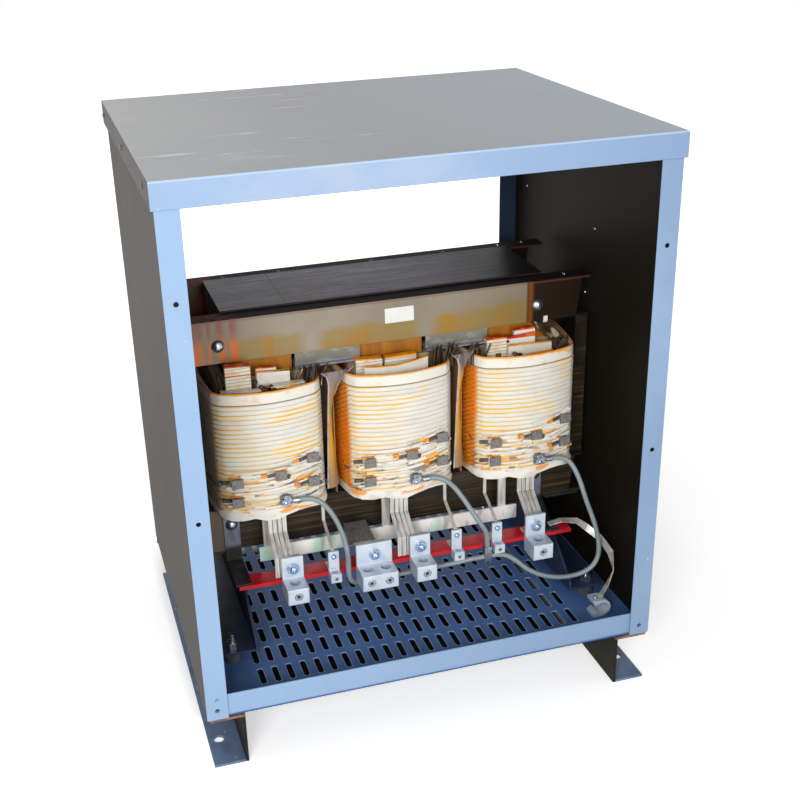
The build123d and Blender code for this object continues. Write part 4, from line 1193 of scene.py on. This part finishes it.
# %% Fans and drops
FANS = (
    (-0.152, -0.112, -0.086, 0.504, 0.533, 8),
    (0.064, 0.098, -0.086, 0.504, 0.536, 9),
    (0.122, 0.152, -0.086, 0.500, 0.531, 7),
    (-0.268, -0.258, -0.080, 0.505, 0.536, 4),
    (0.268, 0.290, -0.084, 0.498, 0.524, 4),
)
for first, last, y, low, high, count in FANS:
    for i in range(count):
        x = first + (last - first) * i / (count - 1)
        lean = chance.uniform(-0.006, 0.010)
        back = chance.uniform(0.004, 0.012)
        rows = []
        for part in (0.0, 0.5, 1.0):
            tall = high - (high - low) * part + chance.uniform(-0.001, 0.001)
            bend = lean * (1 - part) ** 2
            rows.append([(x + bend, y - 0.006, tall), (x + bend + back, y + 0.008, tall + 0.001)])
        fans.append(sheet_of(rows, 0.0010))
CURLED = (
    ((0.240, -0.060, 0.549), (0.259, -0.052, 0.549)),
    ((0.262, -0.080, 0.524), (0.286, -0.070, 0.530)),
    ((0.273, -0.095, 0.505), (0.301, -0.085, 0.504)),
)
fans.append(sheet_of(CURLED, 0.001))

DROPS = (
    (-0.205, -0.098, 0.5160, 0.0042),
    (-0.197, -0.100, 0.5150, 0.0036),
    (-0.190, -0.099, 0.5165, 0.0030),
    (-0.212, -0.090, 0.5220, 0.0040),
    (0.199, -0.099, 0.5130, 0.0045),
    (0.207, -0.100, 0.5110, 0.0040),
    (0.193, -0.084, 0.5290, 0.0030),
)
for x, y, z, radius in DROPS:
    lumps.append(screw((x, y, z), radius, radius * 0.7, "Z", dome=True))
for x in (-0.215, -0.122, 0.035, 0.160):
    lumps.append(screw((x, 0.128, 0.6172), 0.0036, 0.0016, "Z", dome=True))
for pieces, name, material, slot in (
    (stacks, "paper_stacks", paper_stack, "insulation"),
    (panels, "white_panels", white_panel, "insulation"),
    (orange, "orange_edges", orange_rim, "insulation"),
    (crimson, "red_edges", red_rim, "insulation"),
    (fans, "dark_papers", dark_paper, "insulation"),
    (lumps, "varnish_lumps", varnish_lump, "core_varnish"),
):
    hand_over(one(pieces), name, material, smooth=50)

# %% [markdown]
# ## The sheets between the coils
# A thin sheet stands in each gap between two coils and flares at the top like a funnel.
# It is yellow below and grey where it was pulled out. A cone cut open would flare as
# well, but its foot would not be straight. So the sheet is one grid whose rows follow the
# flare, and a thin pale edge runs down each side, where the cut shows.

# %% Sheets between the coils
funnel = Look("funnel_sheet", tone(150, 118, 60), 0.4)
funnel.layer(funnel.patches(0.46, 0.6, 24, (3, 1, 0.3), 4, 2), tone(216, 152, 26), 0.85)
funnel.layer(funnel.over(funnel.z, 0.490, 0.514), tone(128, 118, 118), 0.92)
smudged = funnel.both(funnel.over(funnel.z, 0.495, 0.51), funnel.patches(0.5, 0.6, 60, (2, 1, 0.4), 3, 6))
funnel.layer(smudged, tone(86, 72, 66), 0.8)
# Painted shade: darker towards the bottom, deep between the coils.
funnel.layer(funnel.over(funnel.z, 0.400, 0.350), tone(120, 106, 96), 0.6)
funnel_sheet = funnel.done(height=funnel.noise(50, (3, 1, 0.5)), depth=0.0005)
cut_edge = Look("sheet_edge", tone(176, 170, 172), 0.45)
cut_edge.layer(cut_edge.patches(0.5, 0.64, 60), tone(140, 130, 130), 0.8)
sheet_edge = cut_edge.done()

FLARE = (
    (0.5270, -0.1140, -0.0600),
    (0.5200, -0.1060, -0.0680),
    (0.5090, -0.1035, -0.0800),
    (0.4960, -0.1040, -0.0875),
    (0.4830, -0.1050, -0.0930),
    (0.4650, -0.1060, -0.0975),
    (0.4250, -0.1080, -0.0975),
    (0.3760, -0.1100, -0.0945),
    (0.3330, -0.1120, -0.0905),
)
SHEET_Y = (-0.1035, -0.1045, -0.1000, -0.0900)
FLARED_ROWS = 5


def gap_sheet(number, shift, spread):
    """The sheet in one gap, shifted from the first gap and flared by its own spread."""
    rows, lip, far_lip = [], [], []
    for z, near, far in FLARE:
        far = near + (far - near) * spread if z > 0.49 else far
        across = (near, near * 0.7 + far * 0.3, near * 0.3 + far * 0.7, far)
        rows.append([(shift + x, y, z) for x, y in zip(across, SHEET_Y)])
        lip.append([(shift + near - 0.0010, -0.1040, z), (shift + near + 0.0008, -0.1048, z)])
        far_lip.append([(shift + far - 0.0008, -0.0915, z), (shift + far + 0.0008, -0.0905, z)])
    sheet_name, edge_name = "gap_funnel_%d" % number, "gap_edge_%d" % number
    hand_over(sheet_of(rows, 0.0006), sheet_name, funnel_sheet, smooth=60)
    edges = one([sheet_of(lip, 0.0012), sheet_of(far_lip[:FLARED_ROWS], 0.0010)])
    hand_over(edges, edge_name, sheet_edge, smooth=60)


gap_sheet(1, 0.0, 1.0)
gap_sheet(2, COIL_PITCH, 0.75)

# %% [markdown]
# ## Looks of the screws
# The deep sockets are not cut into the heads: a nearly black disc on each head is painted
# shade for their depth. The washers and domed bolts are blue-plated zinc, and the cabinet's
# own screws are painted over with the panels, brown-grey like the panels' painted shade,
# with blue patches.

# %% Looks of the screws
# Painted shade: a nearly black disc stands for the depth of a socket.
socket = Look("socket_shade_black", tone(30, 30, 34), 0.5)
socket.layer(socket.patches(0.5, 0.6, 300), tone(52, 54, 60), 0.8)
socket_shade_black = socket.done()
blue_zinc = Look("blue_zinc", tone(160, 190, 226), 0.25, 0.6)
blue_zinc.layer(blue_zinc.patches(0.45, 0.62, 200), tone(110, 130, 160), 0.7)
blue_zinc_plate = blue_zinc.done(height=blue_zinc.noise(300), depth=0.0001)
# Painted shade: brown-grey like the panels' shaded faces, with the blue paint in patches.
painted = Look("painted_screw", tone(96, 92, 88), 0.5)
painted.layer(painted.patches(0.5, 0.62, 300), tone(140, 150, 164), 0.6)
painted_screw = painted.done()

# %% [markdown]
# ## Screws of the terminals
# A socket screw in a raised ring grips each wire in its lug, and a domed bolt with a
# washer holds each tongue. They are too small to be solids of the part, but they catch
# the light, so each is built from discs, domes and a ring, and joined by finish.

# %% Screws of the terminals
WIRE_SCREW_Z = 0.2025
TONGUE_BOLT_Z = 0.2345
bright, socket_shade_discs, plated = [], [], []
for x in (-0.187, -0.0705, -0.0415, 0.020, 0.217):
    bright.append(screw((x, -0.1902, WIRE_SCREW_Z), 0.0050, 0.0020))
    # Painted shade for the socket: a nearly black disc on the head.
    socket_shade_discs.append(screw((x, -0.1913, WIRE_SCREW_Z), 0.0028, 0.0008, sides=6))
    rest_selection()
    bpy.ops.mesh.primitive_torus_add(
        location=(x, -0.1920, WIRE_SCREW_Z),
        rotation=AXIS_TURN["Y"],
        major_radius=0.0062,
        minor_radius=0.0005,
        major_segments=32,
        minor_segments=8,
    )
    bright.append(bpy.context.object)
for x in (-0.187, -0.056, 0.020, 0.217):
    bright.append(screw((x, -0.1624, TONGUE_BOLT_Z), 0.0090, 0.0010))
    plated.append(screw((x, -0.1632, TONGUE_BOLT_Z), 0.0082, 0.0016, sides=32))
    plated.append(screw((x, -0.1640, TONGUE_BOLT_Z), 0.0060, 0.0040, dome=True))
    bright.append(screw((x + 0.0008, -0.1676, TONGUE_BOLT_Z), 0.0024, 0.0014, dome=True))
for x in (-0.121, 0.082, 0.151):
    plated.append(screw((x, -0.1560, 0.2400), 0.0042, 0.0030, dome=True))
    bright.append(screw((x, -0.1690, 0.2080), 0.0034, 0.0012))
    socket_shade_discs.append(screw((x, -0.1697, 0.2080), 0.0016, 0.0008, sides=6))
for x in (-0.188, 0.020, 0.228):
    plated.append(screw((x, -0.1400, 0.340), 0.0056, 0.0040, sides=6))
    bright.append(screw((x, -0.1428, 0.340), 0.0034, 0.0016, dome=True))
for x in (-0.263, 0.250):
    plated.append(screw((x, -0.1430, 0.2135), 0.0046, 0.0018, "Z", dome=True))
plated.append(screw((0.2960, -0.2240, 0.1205), 0.0036, 0.0022, "Z", dome=True))
hand_over(one(bright), "lug_screws", bolt_zinc, smooth=30)
hand_over(one(plated), "domed_bolts", blue_zinc_plate, smooth=40)
hand_over(one(socket_shade_discs), "painted_socket_shades", socket_shade_black, smooth=0)

# %% [markdown]
# ## Screws of the cabinet and the clamps
# Domed heads hold the lid's side flanges and the feet of the panels. A few ends of other
# screws show as bright dots inside the right panel and on the clamps.

# %% Screws of the cabinet
heads = []
for side in (-1, 1):
    for y in (0.274, 0.016, -0.226):
        heads.append(screw((side * 0.3597, y, 0.862), 0.0042, 0.0022, "X", dome=True))
    for y, z in ((0.250, 0.091), (0.014, 0.093), (-0.211, 0.088)):
        heads.append(screw((side * 0.3558, y, z), 0.0040, 0.0020, "X", dome=True))
hand_over(one(heads), "panel_screws", painted_screw, smooth=40)
dots = []
for y, z in ((0.224, 0.690), (-0.046, 0.683), (-0.029, 0.297)):
    dots.append(screw((0.3530, y, z), 0.0024, 0.0016, "X", dome=True))
for x, y in ((0.300, -0.052), (0.262, 0.134), (0.306, 0.134)):
    dots.append(screw((x, y, 0.6176), 0.0030, 0.0020, "Z", dome=True))
dots.append(screw((0.3300, -0.0695, 0.589), 0.0026, 0.0016, "Y", dome=True))
hand_over(one(dots), "inner_screws", bolt_zinc, smooth=40)

# %% [markdown]
# ## The jumper cables
# Three cables, 8 mm thick, run from a ring on a tap of each coil to the star point on the
# board. A pipe of extruded rings would show facets where the bend is tight. So each is a
# NURBS curve with a round bevel. Its points are those of the solid, in millimetres.

# %% Cables
CABLES = {
    "left_jumper": [
        (-166.0, -136.0, 340.0),
        (-150.0, -136.0, 340.0),
        (-132.0, -146.0, 334.0),
        (-117.0, -159.0, 312.0),
        (-107.0, -168.0, 282.0),
        (-102.0, -172.0, 250.0),
        (-102.0, -170.0, 219.0),
        (-97.0, -160.0, 193.0),
        (-78.0, -145.0, 179.0),
        (-44.0, -141.0, 177.0),
        (-4.0, -143.0, 180.0),
        (36.0, -148.0, 184.0),
        (68.0, -154.0, 188.0),
        (96.0, -157.0, 192.0),
        (112.0, -158.0, 193.0),
        (127.0, -158.0, 193.0),
    ],
    "middle_jumper": [
        (42.0, -136.0, 340.0),
        (57.0, -136.0, 340.0),
        (75.0, -146.0, 331.0),
        (91.0, -158.0, 308.0),
        (104.0, -166.0, 284.0),
        (117.0, -168.0, 262.0),
        (128.0, -163.0, 244.0),
        (133.0, -158.0, 228.0),
        (133.0, -158.0, 212.0),
    ],
    "right_jumper": [
        (250.0, -136.0, 340.0),
        (267.0, -136.0, 340.0),
        (283.0, -141.0, 330.0),
        (294.0, -152.0, 303.0),
        (303.0, -161.0, 266.0),
        (315.0, -168.0, 231.0),
        (323.0, -174.0, 197.0),
        (322.0, -179.0, 166.0),
        (306.0, -181.0, 146.0),
        (275.0, -179.0, 138.0),
        (239.0, -175.0, 141.0),
        (204.0, -169.0, 156.0),
        (179.0, -161.5, 181.0),
        (159.0, -158.0, 193.0),
        (139.0, -158.0, 193.0),
    ],
}
for cable_name, route in CABLES.items():
    curve = bpy.data.curves.new(cable_name + "_cable", "CURVE")
    curve.dimensions = "3D"
    line = curve.splines.new("NURBS")
    line.points.add(len(route) - 1)
    for point, (x, y, z) in zip(line.points, route):
        point.co = (x * MM, y * MM, z * MM, 1)
    line.order_u = 3
    line.use_endpoint_u = True
    curve.resolution_u = 12
    curve.bevel_depth = 0.004
    curve.bevel_resolution = 5
    curve.use_fill_caps = True
    curve.materials.append(cable_sheath)
    cable = bpy.data.objects.new(cable_name + "_cable", curve)
    bpy.context.scene.collection.objects.link(cable)
    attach(cable, "root")
    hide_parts(cable_name)

# %% [markdown]
# ## The studio floor
# The floor is pale and plain, and fades to pure white away from the object. A floor that
# glows for every ray would light the object from below. So it glows only for rays from
# the camera and from gloss. Under the cabinet the glow is off and the floor is painted
# nearly black, a painted shadow that also shows through the slots of the floor plate.

# %% Studio floor
rest_selection()
bpy.ops.mesh.primitive_plane_add(size=14, location=(0, 0, 0))
ground = bpy.context.object
ground.name = "studio_floor"
pale = Look("studio_floor", (0.9, 0.9, 0.9, 1), 0.9)
# Painted shadow: the floor is nearly black under the cabinet.
painted_shadow_under = pale.both(
    pale.over(pale.math("ABSOLUTE", pale.x), 0.37, 0.29),
    pale.over(pale.y, -0.178, -0.158),
    pale.over(pale.y, 0.42, 0.30),
)
pale.layer(painted_shadow_under, (0.02, 0.016, 0.014, 1))
pale.mirror(0.0)
ground.data.materials.append(pale.done())
rays = pale.add("ShaderNodeLightPath")
seen_or_mirrored = pale.math("MAXIMUM", rays.outputs["Is Camera Ray"], rays.outputs["Is Glossy Ray"])
glow = pale.both(seen_or_mirrored, pale.math("SUBTRACT", 1.0, painted_shadow_under))
distance = pale.add("ShaderNodeVectorMath", Vector=pale.place)
distance.operation = "LENGTH"
NEAR_GLOW, GLOW_GROWS_FROM, WHITE_FROM = 0.5, 0.8, 2.6
further = pale.over(distance.outputs["Value"], GLOW_GROWS_FROM, WHITE_FROM)
strength = pale.math("ADD", NEAR_GLOW, pale.math("MULTIPLY", further, 1 - NEAR_GLOW))
pale.put(pale.shader.inputs["Emission Color"], (1, 1, 1, 1))
pale.put(pale.shader.inputs["Emission Strength"], pale.math("MULTIPLY", glow, strength))
print("floor laid, white from", WHITE_FROM, "m out")

# %% [markdown]
# ## The white background
# The world shows white at a strength of 1 to the camera and in mirrors, but lights the
# object at less than a third of that. A world as bright for every ray would light it from
# all sides and wash out the dark inside of the cabinet.

# %% Background
WORLD_LIGHT = 0.30
world = bpy.data.worlds.new("studio")
bpy.context.scene.world = world
world.use_nodes = True
tree = world.node_tree
background = tree.nodes["Background"]
background.inputs["Color"].default_value = (1, 1, 1, 1)
paths = tree.nodes.new("ShaderNodeLightPath")
seen = tree.nodes.new("ShaderNodeMath")
seen.operation = "MAXIMUM"
tree.links.new(paths.outputs["Is Camera Ray"], seen.inputs[0])
tree.links.new(paths.outputs["Is Glossy Ray"], seen.inputs[1])
level = tree.nodes.new("ShaderNodeMapRange")
level.inputs["To Min"].default_value = WORLD_LIGHT
level.inputs["To Max"].default_value = 1.0
tree.links.new(seen.outputs[0], level.inputs["Value"])
tree.links.new(level.outputs["Result"], background.inputs["Strength"])
print("world lights at", WORLD_LIGHT)

# %% [markdown]
# ## The lamps
# The main lamp stands at the front left. A second one, straight ahead, fills the inside
# of the cabinet, and a third one above lights the lid. Small lamps would throw hard
# shadows of the cables, so all three are squares more than a metre wide.


# %% Lamps
def lamp(name, place, aim, width, power):
    """A soft square lamp that points at a place."""
    light = bpy.data.lights.new(name, "AREA")
    light.size = width
    light.energy = power
    thing = bpy.data.objects.new(name, light)
    thing.location = place
    look = (Vector(aim) - Vector(place)).to_track_quat("-Z", "Y")
    thing.rotation_euler = look.to_euler()
    bpy.context.scene.collection.objects.link(thing)
    print("lamp", name, "of", power, "W")


lamp("key", (-1.6, -3.0, 1.8), (0, 0, 0.4), 1.2, 61)
lamp("front", (0.2, -3.3, 1.1), (0, 0, 0.35), 1.2, 36)
lamp("top", (-0.6, 0.3, 3.2), (0, 0, 0.4), 1.8, 22)
